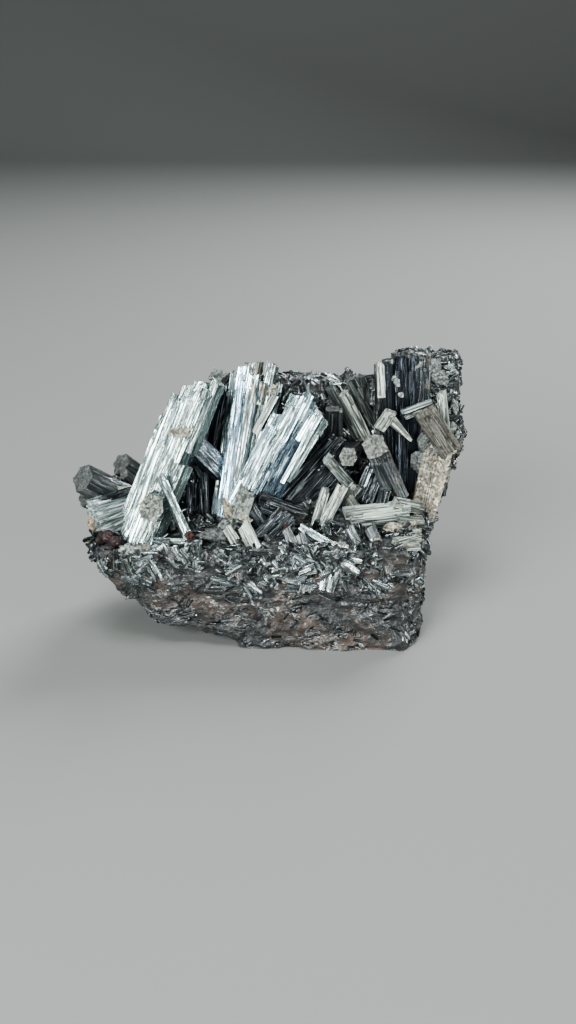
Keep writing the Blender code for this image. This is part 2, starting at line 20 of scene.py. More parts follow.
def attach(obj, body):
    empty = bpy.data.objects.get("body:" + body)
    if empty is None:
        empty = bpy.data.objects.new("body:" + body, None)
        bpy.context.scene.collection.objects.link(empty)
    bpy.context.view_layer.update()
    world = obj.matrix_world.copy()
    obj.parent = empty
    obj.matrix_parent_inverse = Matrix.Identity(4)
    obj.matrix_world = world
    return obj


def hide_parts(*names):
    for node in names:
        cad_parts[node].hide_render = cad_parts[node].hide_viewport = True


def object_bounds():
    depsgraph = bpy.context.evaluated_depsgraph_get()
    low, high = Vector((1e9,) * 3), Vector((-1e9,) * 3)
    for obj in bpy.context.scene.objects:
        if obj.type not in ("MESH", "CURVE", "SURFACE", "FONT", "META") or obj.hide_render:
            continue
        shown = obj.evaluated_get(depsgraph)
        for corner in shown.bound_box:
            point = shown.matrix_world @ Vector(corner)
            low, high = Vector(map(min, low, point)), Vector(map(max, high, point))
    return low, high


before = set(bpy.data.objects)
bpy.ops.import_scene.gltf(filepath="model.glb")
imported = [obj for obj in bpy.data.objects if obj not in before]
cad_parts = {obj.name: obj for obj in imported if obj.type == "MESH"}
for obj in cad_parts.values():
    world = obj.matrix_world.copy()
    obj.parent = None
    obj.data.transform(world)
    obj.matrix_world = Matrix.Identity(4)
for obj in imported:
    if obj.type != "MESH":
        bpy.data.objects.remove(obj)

LOG = logging.getLogger("manganite")
CAD_BOX = [list(corner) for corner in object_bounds()]

BODY = "root"
MM = 0.001
Triple = tuple[float, float, float]
MIDDLE: Triple = (2.9075, 1.7086, 0.0)

# Where a crystal's broad face looks.
FORWARDS: Triple = (0.0, -1.0, 0.35)
TOWARDS_LIGHT: Triple = (-0.35, -0.84, 0.41)
HALF_TURNED: Triple = (-0.2, -0.93, 0.38)
SIDEWAYS: Triple = (0.9, -1.33, 0.5)
UPWARDS: Triple = (0.28, -0.2, 1.0)
TURNED_UP: Triple = (0.2, -0.4, 1)

# The map and the marks that the finishes read from a piece.
GRAIN_MAP = "grain"
TONE, STAIN, COOL, BROKEN = "tone", "stain", "cool", "broken"


class Slot(Enum):
    """The record's material slots."""

    SILVER = "silver_crystal"
    DARK = "dark_crystal"
    STAINED = "stained_crystal"
    ROUGH = "rough_crystal_end"
    ORE = "massive_ore"


# ---------------------------------------------------------------- shader helpers


class Value:
    """A number that varies over a surface, as a socket that Python's operators work on."""

    def __init__(self, tree: "Tree", socket: bpy.types.NodeSocket) -> None:
        """Keeps the tree that makes new nodes and the socket that holds the number."""
        self.tree = tree
        self.socket = socket

    def _maths(self, operation: str, *values: Any) -> "Value":
        """Adds one Math node.

        Args:
            operation: the node's operation.
            values: its inputs, each a Value or a number.

        Returns:
            The node's result.
        """
        node = self.tree.add("ShaderNodeMath", {"operation": operation}, dict(enumerate(values)))
        return Value(self.tree, node.outputs[0])

    def __add__(self, other: Any) -> "Value":
        """self + other"""
        return self._maths("ADD", self, other)

    def __radd__(self, other: Any) -> "Value":
        """other + self"""
        return self._maths("ADD", other, self)

    def __sub__(self, other: Any) -> "Value":
        """self - other"""
        return self._maths("SUBTRACT", self, other)

    def __rsub__(self, other: Any) -> "Value":
        """other - self"""
        return self._maths("SUBTRACT", other, self)

    def __mul__(self, other: Any) -> "Value":
        """self * other"""
        return self._maths("MULTIPLY", self, other)

    def __rmul__(self, other: Any) -> "Value":
        """other * self"""
        return self._maths("MULTIPLY", other, self)

    def __abs__(self) -> "Value":
        """abs(self)"""
        return self._maths("ABSOLUTE", self)

    def held(self) -> "Value":
        """The number held between 0 and 1."""
        return self._maths("MINIMUM", self._maths("MAXIMUM", self, 0.0), 1.0)

    def ramp(self, low: float, high: float) -> "Value":
        """The number's place between low and high, held between 0 and 1."""
        return ((self - low) * (1.0 / (high - low))).held()


class Tree:
    """A material's nodes, made one by one."""

    def __init__(self, name: str) -> None:
        """Starts a material with its Principled shader.

        Args:
            name: the material's name.
        """
        self.material = bpy.data.materials.new(name)
        self.material.use_nodes = True
        self.nodes = self.material.node_tree.nodes
        self.links = self.material.node_tree.links
        self.shader = self.nodes["Principled BSDF"]

    def add(self, kind: str, settings: dict[str, Any], inputs: dict[Any, Any]) -> bpy.types.Node:
        """Adds a node.

        Args:
            kind: the node's type.
            settings: its settings, set first.
            inputs: socket name or number to a Value, a socket or a plain value.

        Returns:
            The node.
        """
        node = self.nodes.new(kind)
        for name, setting in settings.items():
            setattr(node, name, setting)
        for socket, given in inputs.items():
            self.feed(node.inputs[socket], given)
        return node

    def feed(self, socket: bpy.types.NodeSocket, given: Any) -> None:
        """Links or sets a socket.

        Args:
            socket: the socket.
            given: a Value or another socket to link it to, or its plain value.
        """
        given = given.socket if isinstance(given, Value) else given
        if isinstance(given, bpy.types.NodeSocket):
            self.links.new(given, socket)
        elif socket.type == "RGBA" and len(given) == 3:
            socket.default_value = (*given, 1)
        else:
            socket.default_value = given

    def attribute(self, name: str) -> Value:
        """A number stored on the piece's faces."""
        return Value(self, self.add("ShaderNodeAttribute", {"attribute_name": name}, {}).outputs["Fac"])

    def place(self) -> bpy.types.NodeSocket:
        """Where a point of the piece lies, in metres."""
        return self.add("ShaderNodeTexCoord", {}, {}).outputs["Object"]

    def noise(self, where: Any, cells: Union[float, Triple], detail: float, rough: float = 0.55) -> Value:
        """Noise between 0 and 1.

        Args:
            where: the coordinates.
            cells: cells per unit of the coordinates, the same every way or one number for each way.
            detail: octaves.
            rough: how strong the fine octaves are.

        Returns:
            The noise.
        """
        if isinstance(cells, tuple):
            where, cells = self.mapped(where, cells), 1.0
        inputs = {"Vector": where, "Scale": cells, "Detail": detail, "Roughness": rough}
        return Value(self, self.add("ShaderNodeTexNoise", {}, inputs).outputs[0])

    def mapped(self, where: Any, scale: Triple) -> bpy.types.NodeSocket:
        """Coordinates stretched by a Mapping node."""
        return self.add("ShaderNodeMapping", {}, {"Vector": where, "Scale": scale}).outputs[0]

    def mix(self, share: Any, first: Any, second: Any) -> bpy.types.NodeSocket:
        """A colour between two colours.

        Args:
            share: how much of the second.
            first: a colour or its socket.
            second: a colour or its socket.

        Returns:
            The mixed colour's socket.
        """
        return self.add("ShaderNodeMix", {"data_type": "RGBA"}, {0: share, 6: first, 7: second}).outputs[2]

    def vector(self, operation: str, *values: Any) -> bpy.types.NodeSocket:
        """A Vector Math node's vector.

        Args:
            operation: the node's operation.
            values: its vectors.

        Returns:
            The result's socket.
        """
        return self.add("ShaderNodeVectorMath", {"operation": operation}, dict(enumerate(values))).outputs[0]

    def edges(self, where: Any) -> Value:
        """The distance to the nearest edge between the grains of flat coordinates."""
        settings = {"feature": "DISTANCE_TO_EDGE", "voronoi_dimensions": "2D"}
        node = self.add("ShaderNodeTexVoronoi", settings, {"Vector": where, "Scale": 1.0})
        return Value(self, node.outputs[0])

    def grains(self, where: Any, scale: float, dimensions: str = "3D") -> "Grains":
        """Divides a surface into grains.

        Args:
            where: the coordinates.
            scale: grains per unit of the coordinates.
            dimensions: 2D where the coordinates are flat.

        Returns:
            The grains.
        """
        settings = {"feature": "F1", "voronoi_dimensions": dimensions}
        node = self.add("ShaderNodeTexVoronoi", settings, {"Vector": where, "Scale": scale})
        colour = node.outputs["Color"]
        offset = self.vector("SUBTRACT", where, node.outputs["Position"])
        lean = self.vector("SUBTRACT", colour, (0.5, 0.5, 0.5))
        dot = self.add("ShaderNodeVectorMath", {"operation": "DOT_PRODUCT"}, {0: offset, 1: lean})
        parts = self.add("ShaderNodeSeparateColor", {}, {0: colour})
        turn = {"Vector": where, "Rotation": self.vector("MULTIPLY", colour, (6.28, 6.28, 6.28))}
        turned = self.add("ShaderNodeVectorRotate", {"rotation_type": "EULER_XYZ"}, turn)
        numbers = (Value(self, socket) for socket in (dot.outputs[1], *parts.outputs[:2]))
        return Grains(*numbers, turned.outputs[0])

    def finished(self, colour: Any, rough: Any, metal: Any, height: Value) -> bpy.types.Material:
        """Feeds the shader.

        Args:
            colour: the base colour.
            rough: the roughness.
            metal: how metallic the surface is.
            height: its fine relief, in metres.

        Returns:
            The material.
        """
        normal = self.add("ShaderNodeBump", {}, {"Distance": 1.0, "Height": height}).outputs[0]
        fed = {"Base Color": colour, "Roughness": rough, "Metallic": metal, "Normal": normal}
        for socket, given in fed.items():
            self.feed(self.shader.inputs[socket], given)
        return self.material


@dataclass(frozen=True)
class Grains:
    """A surface's grains: each one's tilt, its two random numbers, and coordinates turned at random."""

    tilt: Value
    chance: Value
    second: Value
    turned: bpy.types.NodeSocket


# ---------------------------------------------------------------- finishes

Colour = Triple
BLACK: Colour = (0.0, 0.0, 0.0)

# Cells per metre across a crystal and along it, and then those of the grit on its faces.
LATHS: Triple = (1000, 38, 1)
THREADS: Triple = (2200, 85, 1)
FIBRES: Triple = (7000, 300, 1)
BANDS: Triple = (420, 26, 1)
BREAKS: Triple = (170, 330, 1)
CLOUDS, FLECKS, FLAKES = 240.0, 1300.0, 1500.0
# Cells per metre of the ore's sheaves and chips, and of the fibres along each one's three directions.
SHEAVES, SHEAF_FIBRES = 230.0, (2600, 1500, 170)
CHIPS, CHIP_FIBRES = 620.0, (3600, 2400, 420)
PATCHES, WARPS, GRIT = 85.0, 220.0, 2200.0


@dataclass(frozen=True)
class CrystalFinish:
    """Striated submetallic crystal, with dull granular broken ends and a film of stain.

    metal is how metallic a clean face is, groove how deep its grooves are, in metres, flaked how flaky its
    sides are, and wear how much the seams between its laths are worn away.
    """

    name: str
    slot: Slot
    bright: Colour
    cool: Colour
    dark: Colour
    stain: Colour = (0.33, 0.27, 0.19)
    broken: Colour = (0.42, 0.51, 0.49)
    earthy: Colour = (0.54, 0.52, 0.41)
    roughness: float = 0.19
    metal: float = 0.92
    groove: float = 0.00006
    flaked: float = 0.04
    wear: float = 0.0

    def material(self) -> bpy.types.Material:
        """Builds the finish's material.

        Returns:
            The material.
        """
        tree = Tree(self.name)
        grain = tree.add("ShaderNodeUVMap", {"uv_map": GRAIN_MAP}, {}).outputs[0]
        place = tree.place()
        tone, stained, cooled, broken = (tree.attribute(name) for name in (TONE, STAIN, COOL, BROKEN))

        wide, narrow = tree.mapped(grain, LATHS), tree.mapped(grain, THREADS)
        laths, threads = tree.grains(wide, 1.0, "2D"), tree.grains(narrow, 1.0, "2D")
        fibre = tree.noise(grain, FIBRES, 2.0, 0.5)
        bands = tree.noise(grain, BANDS, 3.0, 0.6)
        breaks = tree.noise(grain, BREAKS, 2.0, 0.5)
        clouds = tree.noise(place, CLOUDS, 3.0, 0.6)
        flecks = tree.noise(place, FLECKS, 3.0, 0.65)
        flakes = tree.grains(place, FLAKES)

        # Seams between laths, hairs between threads, pits, and cracks across: 0 in them and 1 between them.
        worn = (1.25 + self.wear - tone).held()
        seams = (tree.edges(wide) - worn * 0.06).ramp(0.015, 0.11)
        hairs = (tree.edges(narrow) + (bands - 0.5) * 1.2 - worn * 0.1).ramp(0.0, 0.12)
        pits = (threads.chance + worn * 0.12).ramp(0.88, 0.93) * fibre.ramp(0.3, 0.5)
        cracks = 1 - (1 - abs(breaks - 0.5).ramp(0.002, 0.02)) * clouds.ramp(0.48, 0.56) * 0.8
        streak = seams * (1 - (1 - hairs) * 0.85) * (1 - pits * 0.8) * cracks
        # The sides: each lath has its own shade, and painted highlights: some threads of a dark crystal are
        # painted bright, for the thin gleam that they reflect.
        shade = 0.62 + laths.chance * 0.35 + threads.second * 0.2 + (fibre - 0.5) * 0.2 + (bands - 0.5) * 0.4
        painted_gleam = threads.chance.ramp(0.66, 0.76) * hairs * bands.ramp(0.48, 0.60) * (0.9 - tone).held()
        light = (streak * 0.9 + 0.1) * shade * tone + painted_gleam * 0.42
        tinted = tree.mix((cooled + (laths.second - 0.5) * 0.5).held(), self.bright, self.cool)
        colour = tree.mix(light.held(), self.dark, tinted)
        # The film of stain, in patches.
        patches = (clouds * 0.7 + flecks * 0.5 - 0.72) * 3.2
        film = (patches + stained * 1.5 - 0.15).held() * stained.ramp(0.02, 0.3)
        tint = tree.mix(streak, tuple(0.5 * part for part in self.stain), self.stain)
        colour = tree.mix((film * 0.75).held(), colour, tint)
        # The broken ends and granular sides, speckled with flakes.
        speckle = ((flakes.chance * 0.9 + flecks * 1.3 - 0.75) * (0.35 + tone * 0.75)).held()
        ends = tree.mix(stained.ramp(0.1, 0.7), self.broken, self.earthy)
        ends = tree.mix(speckle, tree.mix(0.78, ends, BLACK), ends)
        ends = tree.mix((tone * 0.9 + 0.2).held(), self.dark, ends)
        colour = tree.mix((broken * (0.6 + clouds * 0.6)).held(), colour, ends)

        rough = self.roughness + (1 - streak) * 0.12 + (clouds - 0.5) * 0.16 + film * 0.22 + broken * 0.2
        turns = laths.tilt * 0.00022 + threads.tilt * 0.00014
        sides = (streak * self.groove + turns + bands * 0.00006 + flecks * 0.00003) * (1 - broken)
        height = sides + flakes.tilt * self.flaked + broken * (flakes.tilt * 0.9 + flecks * 0.0003)
        metal = self.metal - film * 0.45 - broken * 0.2
        return tree.finished(colour, rough.held(), metal.held(), height)


@dataclass(frozen=True)
class OreFinish:
    """Dark broken ore: intergrown fibrous flakes that lie every way, brown in places, with painted glints:
    some faces painted bright.
    """

    name: str = "massive_ore_finish"
    slot: Slot = Slot.ORE
    dark: Colour = (0.022, 0.023, 0.024)
    # pale is the colour that the painted glints are drawn in.
    pale: Colour = (0.60, 0.66, 0.66)
    brown: Colour = (0.110, 0.082, 0.066)
    brown_below: float = 0.034
    brown_fade: float = 0.008
    warp: float = 0.004

    def material(self) -> bpy.types.Material:
        """Builds the finish's material.

        Returns:
            The material.
        """
        tree = Tree(self.name)
        place = tree.place()
        clouds = tree.noise(place, PATCHES, 4.0, 0.6)
        grit = tree.noise(place, GRIT, 3.0, 0.7)
        warp = tree.add("ShaderNodeTexNoise", {}, {"Vector": place, "Scale": WARPS, "Detail": 2.0})
        bent = tree.vector("ADD", place, tree.vector("MULTIPLY", warp.outputs[1], (self.warp,) * 3))
        sheaves, chips = tree.grains(bent, SHEAVES), tree.grains(bent, CHIPS)
        fibre = tree.noise(sheaves.turned, SHEAF_FIBRES, 2.0, 0.5)
        wisps = tree.noise(chips.turned, CHIP_FIBRES, 2.0, 0.5)

        # Painted glints: bright fibres and chips are painted in the pale colour; the grains' tilt in the bump
        # is real relief.
        painted_glint = fibre.ramp(0.50, 0.62) * sheaves.chance.ramp(0.35, 0.9) * clouds.ramp(0.35, 0.6)
        painted_spark = wisps.ramp(0.54, 0.64) * chips.chance.ramp(0.5, 1.0)
        shine = (painted_glint * 0.75 + painted_spark * 0.45 + fibre * 0.12).held()
        colour = tree.mix(shine, self.dark, self.pale)
        parts = tree.add("ShaderNodeSeparateXYZ", {}, {0: place})
        low = 1 - Value(tree, parts.outputs[2]).ramp(self.brown_below - self.brown_fade, self.brown_below)
        patches = clouds.ramp(0.46, 0.58) * (0.25 + sheaves.second * 0.6)
        stain = patches * (1 - shine * 0.6) * (low * 0.85 + 0.15)
        colour = tree.mix(stain.held(), colour, self.brown)
        rough = 0.44 - shine * 0.2 + (grit - 0.5) * 0.4
        metal = 0.5 + shine * 0.4 - stain * 0.3
        height = sheaves.tilt * 0.35 + chips.tilt * 0.4 + fibre * 0.0003 + wisps * 0.00012 + grit * 0.00008
        return tree.finished(colour, rough.held(), metal.held(), height)


SILVER = CrystalFinish(
    "silver_crystal_finish", Slot.SILVER, (0.77, 0.94, 0.86), (0.54, 0.75, 0.88), (0.018, 0.028, 0.040)
)
# Painted reflection: this finish is near-white and mostly not metallic, so its crystals' colour paints the
# bright reflection that dark metallic crystals show; its pale yellow film is a real stain. PALE is the same
# finish in another slot.
PAINTED_BRIGHT = replace(
    SILVER, name="painted_bright_crystal_finish", bright=(0.84, 0.96, 0.86), cool=(0.64, 0.80, 0.86),
    dark=(0.008, 0.010, 0.012), stain=(0.82, 0.76, 0.52), metal=0.25, roughness=0.2, flaked=0.25, wear=1.35,
)
PALE = replace(PAINTED_BRIGHT, name="pale_crystal_finish", slot=Slot.STAINED)
DARK = CrystalFinish(
    "dark_crystal_finish", Slot.DARK, (0.76, 0.86, 0.84), (0.46, 0.58, 0.76), (0.008, 0.010, 0.015),
    roughness=0.2,
)
STAINED = CrystalFinish(
    "stained_crystal_finish", Slot.STAINED, (0.80, 0.82, 0.74), (0.62, 0.68, 0.68), (0.05, 0.045, 0.042),
    (0.70, 0.62, 0.48), (0.74, 0.72, 0.60), (0.80, 0.74, 0.58), roughness=0.3,
)
ROUGH = CrystalFinish(
    "rough_crystal_finish", Slot.ROUGH, (0.62, 0.70, 0.68), (0.44, 0.54, 0.62), (0.02, 0.022, 0.026),
    broken=(0.54, 0.61, 0.58), metal=0.6,
)
BROWN = CrystalFinish(
    "brown_crystal_finish", Slot.STAINED, (0.36, 0.37, 0.33), (0.30, 0.32, 0.31), (0.02, 0.02, 0.018),
    (0.23, 0.22, 0.18), (0.28, 0.28, 0.25), (0.36, 0.34, 0.27), roughness=0.34, metal=0.5,
)
BUFF = CrystalFinish(
    "buff_lump_finish", Slot.STAINED, (0.80, 0.82, 0.74), (0.62, 0.68, 0.68), (0.05, 0.045, 0.042),
    broken=(0.68, 0.69, 0.56), earthy=(0.62, 0.47, 0.30), metal=0.5,
)
RUST = CrystalFinish(
    "rust_nodule_finish", Slot.STAINED, (0.30, 0.20, 0.17), (0.22, 0.15, 0.14), (0.04, 0.02, 0.02),
    broken=(0.040, 0.026, 0.028), earthy=(0.20, 0.06, 0.04), metal=0.45, roughness=0.12,
)
GRAINY = CrystalFinish(
    "ore_grain_finish", Slot.ORE, (0.78, 0.86, 0.82), (0.56, 0.68, 0.74), (0.02, 0.022, 0.024),
    (0.14, 0.10, 0.085), roughness=0.26, groove=0.00004, flaked=0.25,
)
PALE_GRAIN = CrystalFinish(
    "pale_grain_finish", Slot.STAINED, (0.88, 0.88, 0.76), (0.66, 0.74, 0.72), (0.04, 0.035, 0.03),
    (0.60, 0.50, 0.34), roughness=0.3, groove=0.00004, flaked=0.25,
)
ORE = OreFinish()
Finish = Union[CrystalFinish, OreFinish]


# ---------------------------------------------------------------- crystals as descriptions


def placed(points: np.ndarray) -> np.ndarray:
    """Brings points from the layout, in millimetres, to the specimen's frame, in metres."""
    return (points - np.array(MIDDLE)) * MM


@dataclass(frozen=True)
class Crystal:
    """A prism from foot to tip whose broad faces look along facing.

    tone runs from black to silver, stain from clean to covered, cool from neutral to blue, and rough from
    smooth to granular sides. slope is the tip's slant across, and taper the tip's share of the foot's width.
    A solo crystal has no slivers, and end_tone is the tone of its ends where that differs.
    """

    foot: Triple
    tip: Triple
    width: float
    depth: float
    facing: Triple = FORWARDS
    slope: float = 0.2
    taper: float = 0.96
    tone: float = 1.0
    stain: float = 0.0
    cool: float = 0.12
    rough: float = 0.0
    solo: bool = False
    end_tone: Optional[float] = None

    @property
    def length(self) -> float:
        """From foot to tip."""
        return math.dist(self.foot, self.tip)

    def axes(self) -> tuple[np.ndarray, np.ndarray, np.ndarray]:
        """Its own directions: across, out of the broad face and along."""
        return axes_of(self.foot, self.tip, self.facing)


@dataclass(frozen=True)
class Slat:
    """One crystal of a bundle: its place across it at foot and tip, and the stretch that it fills."""

    at_foot: float
    at_tip: float
    width: float
    depth: float
    start: float = 0.0
    end: float = 1.0
    out: float = 0.0
    slope: float = 0.2
    tone: float = 1.0
    stain: float = 0.0
    cool: float = 0.12
    facing: Optional[Triple] = None


def axes_of(foot: Triple, tip: Triple, facing: Triple) -> tuple[np.ndarray, np.ndarray, np.ndarray]:
    """Finds a crystal's own directions.

    Args:
        foot: where it starts.
        tip: where it ends.
        facing: roughly where its broad face looks.

    Returns:
        Across, out of the broad face and along, each of unit length.
    """
    along = np.array(tip, float) - np.array(foot, float)
    along /= np.linalg.norm(along)
    out = np.array(facing, float)
    out -= along * (out @ along)
    out /= np.linalg.norm(out)
    return np.cross(along, out), out, along


def pale(
    foot: Triple, tip: Triple, width: float, depth: float, tone: float, stain: float = 0.35, **more: Any
) -> Crystal:
    """A crystal with a pale film and no blue in it."""
    return Crystal(foot, tip, width, depth, tone=tone, stain=stain, cool=0, **more)


def stub(
    foot: Triple, tip: Triple, width: float, depth: float, facing: Triple, tone: float,
    end_tone: Optional[float] = None, **more: float
) -> Crystal:
    """A short broken crystal on its own, with its slope or stain in more."""
    return Crystal(foot, tip, width, depth, facing, tone=tone, end_tone=end_tone, solo=True, **more)


def bundle(foot: Triple, tip: Triple, slats: Sequence[Slat], facing: Triple = FORWARDS) -> list[Crystal]:
    """Lays out the crystals of a bundle.

    Args:
        foot: the foot of its middle line.
        tip: the tip of its middle line.
        slats: its crystals.
        facing: where its broad face looks.

    Returns:
        The crystals.
    """
    across, out, _ = axes_of(foot, tip, facing)
    start, end = np.array(foot, float), np.array(tip, float)
    crystals = []
    for slat in slats:
        low = start + across * slat.at_foot + out * slat.out
        high = end + across * slat.at_tip + out * slat.out
        ends = (tuple(low + (high - low) * share) for share in (slat.start, slat.end))
        look = {"tone": slat.tone, "stain": slat.stain, "cool": slat.cool}
        crystals.append(Crystal(*ends, slat.width, slat.depth, slat.facing or facing, slat.slope, **look))
    return crystals


# ---------------------------------------------------------------- crystals as meshes


@dataclass(frozen=True)
class Shape:
    """A modelled shape: its points, its faces' points one face after another, and where each face starts."""

    points: np.ndarray
    loops: np.ndarray
    starts: np.ndarray

    def repeated(self, count: int) -> tuple[np.ndarray, np.ndarray]:
        """The loops and the starts of a mesh that holds the shape count times."""
        turns = np.arange(count)[:, None]
        loops, starts = self.loops + turns * len(self.points), self.starts + turns * len(self.loops)
        return loops.ravel(), starts.ravel()


def shape_of(solid: bpy.types.Object) -> Shape:
    """Reads a shape from an object, which is then removed.

    Args:
        solid: the object.

    Returns:
        The shape.
    """
    mesh = solid.data
    loops = np.array([loop.vertex_index for loop in mesh.loops])
    shape = Shape(read(mesh.vertices, "co"), loops, np.array([face.loop_start for face in mesh.polygons]))
    bpy.data.objects.remove(solid)
    return shape


class Blank:
    """A plain prism, modelled once, that every striated crystal of its kind is a shaped copy of."""

    def __init__(self, side_steps: int, face_steps: int, rings: int, cap_rings: int) -> None:
        """Models the blank.

        Args:
            side_steps: facets on each of the four narrow sides.
            face_steps: facets on each of the two broad faces.
            rings: lengths that the sides are divided into.
            cap_rings: rings of faces on each end.
        """
        self.side_steps, self.face_steps, self.rings = side_steps, face_steps, rings
        self.stations = 4 * side_steps + 2 * face_steps
        solid = self._model(cap_rings)
        self.cap = np.array([abs(face.normal.z) > 0.5 for face in solid.data.polygons])
        shape = shape_of(solid)
        corners, self.loops, self.starts = shape.points, shape.loops, shape.starts
        totals = np.diff(np.append(self.starts, len(self.loops)))
        self.reach = np.hypot(corners[:, 0], corners[:, 1])
        turn = np.arctan2(corners[:, 1], corners[:, 0]) / (2 * math.pi) * self.stations
        self.station = np.round(turn).astype(int) % self.stations
        self.place = np.clip(corners[:, 2] + 0.5, 0, 1)
        self.ring = np.round(self.place * rings).astype(int)
        self.side = self.reach > 0.999
        self.loop_cap = np.repeat(self.cap, totals)
        self.loop_turn = self.station[self.loops]
        # A face that closes the ring counts on past the last station.
        for start, total in zip(self.starts, totals):
            here = self.loop_turn[start : start + total]
            if here.max() - here.min() > self.stations / 2:
                here[here < self.stations / 2] += self.stations
        self.face_station = np.minimum.reduceat(self.loop_turn, self.starts) % self.stations
        self.loop_turn = np.minimum(self.loop_turn, self.stations)

    def _model(self, cap_rings: int) -> bpy.types.Object:
        """Makes the prism with its rings and caps.

        Args:
            cap_rings: rings of faces on each end.

        Returns:
            The prism.
        """
        solid = prism(self.stations, 1)
        first = solid.data.vertices[0].co
        solid.data.transform(Matrix.Rotation(-math.atan2(first.y, first.x), 4, "Z"))
        select(solid, "EDGE", lambda edge: upright(solid, edge))
        bpy.ops.mesh.subdivide(number_cuts=self.rings - 1)
        bpy.ops.object.mode_set(mode="OBJECT")
        select(solid, "FACE", lambda face: abs(face.normal.z) > 0.5)
        for _ in range(cap_rings - 1):
            bpy.ops.mesh.inset(thickness=1.0 / cap_rings, use_individual=True, use_even_offset=False)
        bpy.ops.mesh.poke()
        bpy.ops.object.mode_set(mode="OBJECT")
        return solid

    def outline(self, width: float, depth: float, broad: float) -> tuple[np.ndarray, np.ndarray, np.ndarray]:
        """The cross-section: broad faces front and back, joined by bevelled sides.

        Args:
            width: across.
            depth: front to back.
            broad: the broad face's share of the width.

        Returns:
            The stations' places, their outward directions, and how far round each lies.
        """
        half, flat, deep = width / 2, width / 2 * broad, depth / 2
        corners = [(half, 0), (flat, deep), (-flat, deep), (-half, 0), (-flat, -deep), (flat, -deep)]
        points, normals = [], []
        for index, count in enumerate([self.side_steps, self.face_steps, self.side_steps] * 2):
            here, there = np.array(corners[index], float), np.array(corners[(index + 1) % 6], float)
            run = there - here
            normal = np.array((run[1], -run[0])) / np.linalg.norm(run)
            for step in range(count):
                points.append(here + run * step / count)
                normals.append(normal)
        normals, points = np.array(normals), np.array(points)
        normals = normals + np.roll(normals, 1, axis=0)
        normals /= np.linalg.norm(normals, axis=1, keepdims=True)
        lengths = np.linalg.norm(np.roll(points, -1, axis=0) - points, axis=1)
        return points, normals, np.append(0, np.cumsum(lengths))


@dataclass(frozen=True)
class Surface:
    """How a crystal is worked, in millimetres.

    broad is the broad face's share of the width, and furrows the share of facets with a deep furrow. The end
    is ragged, in blocks as wide as fibre, and lumpy. slivers and short_slivers are how many lie on each
    millimetre of a tall crystal's and of a short one's width.
    """

    broad: float = 0.93
    groove: float = 0.011
    furrow: float = 0.11
    furrows: float = 0.13
    steps: int = 5
    step_depth: tuple[float, float] = (0.10, 0.30)
    ragged: float = 0.35
    fibre: float = 3.0
    lumpy: float = 0.1
    slivers: float = 0.4
    short_slivers: float = 1.3


# A crystal past LONG has more rings, and blocks on its end where it is past WIDE. Past TALL it has fewer
# slivers for its width.
LONG, WIDE, TALL = 13, 2.4, 18


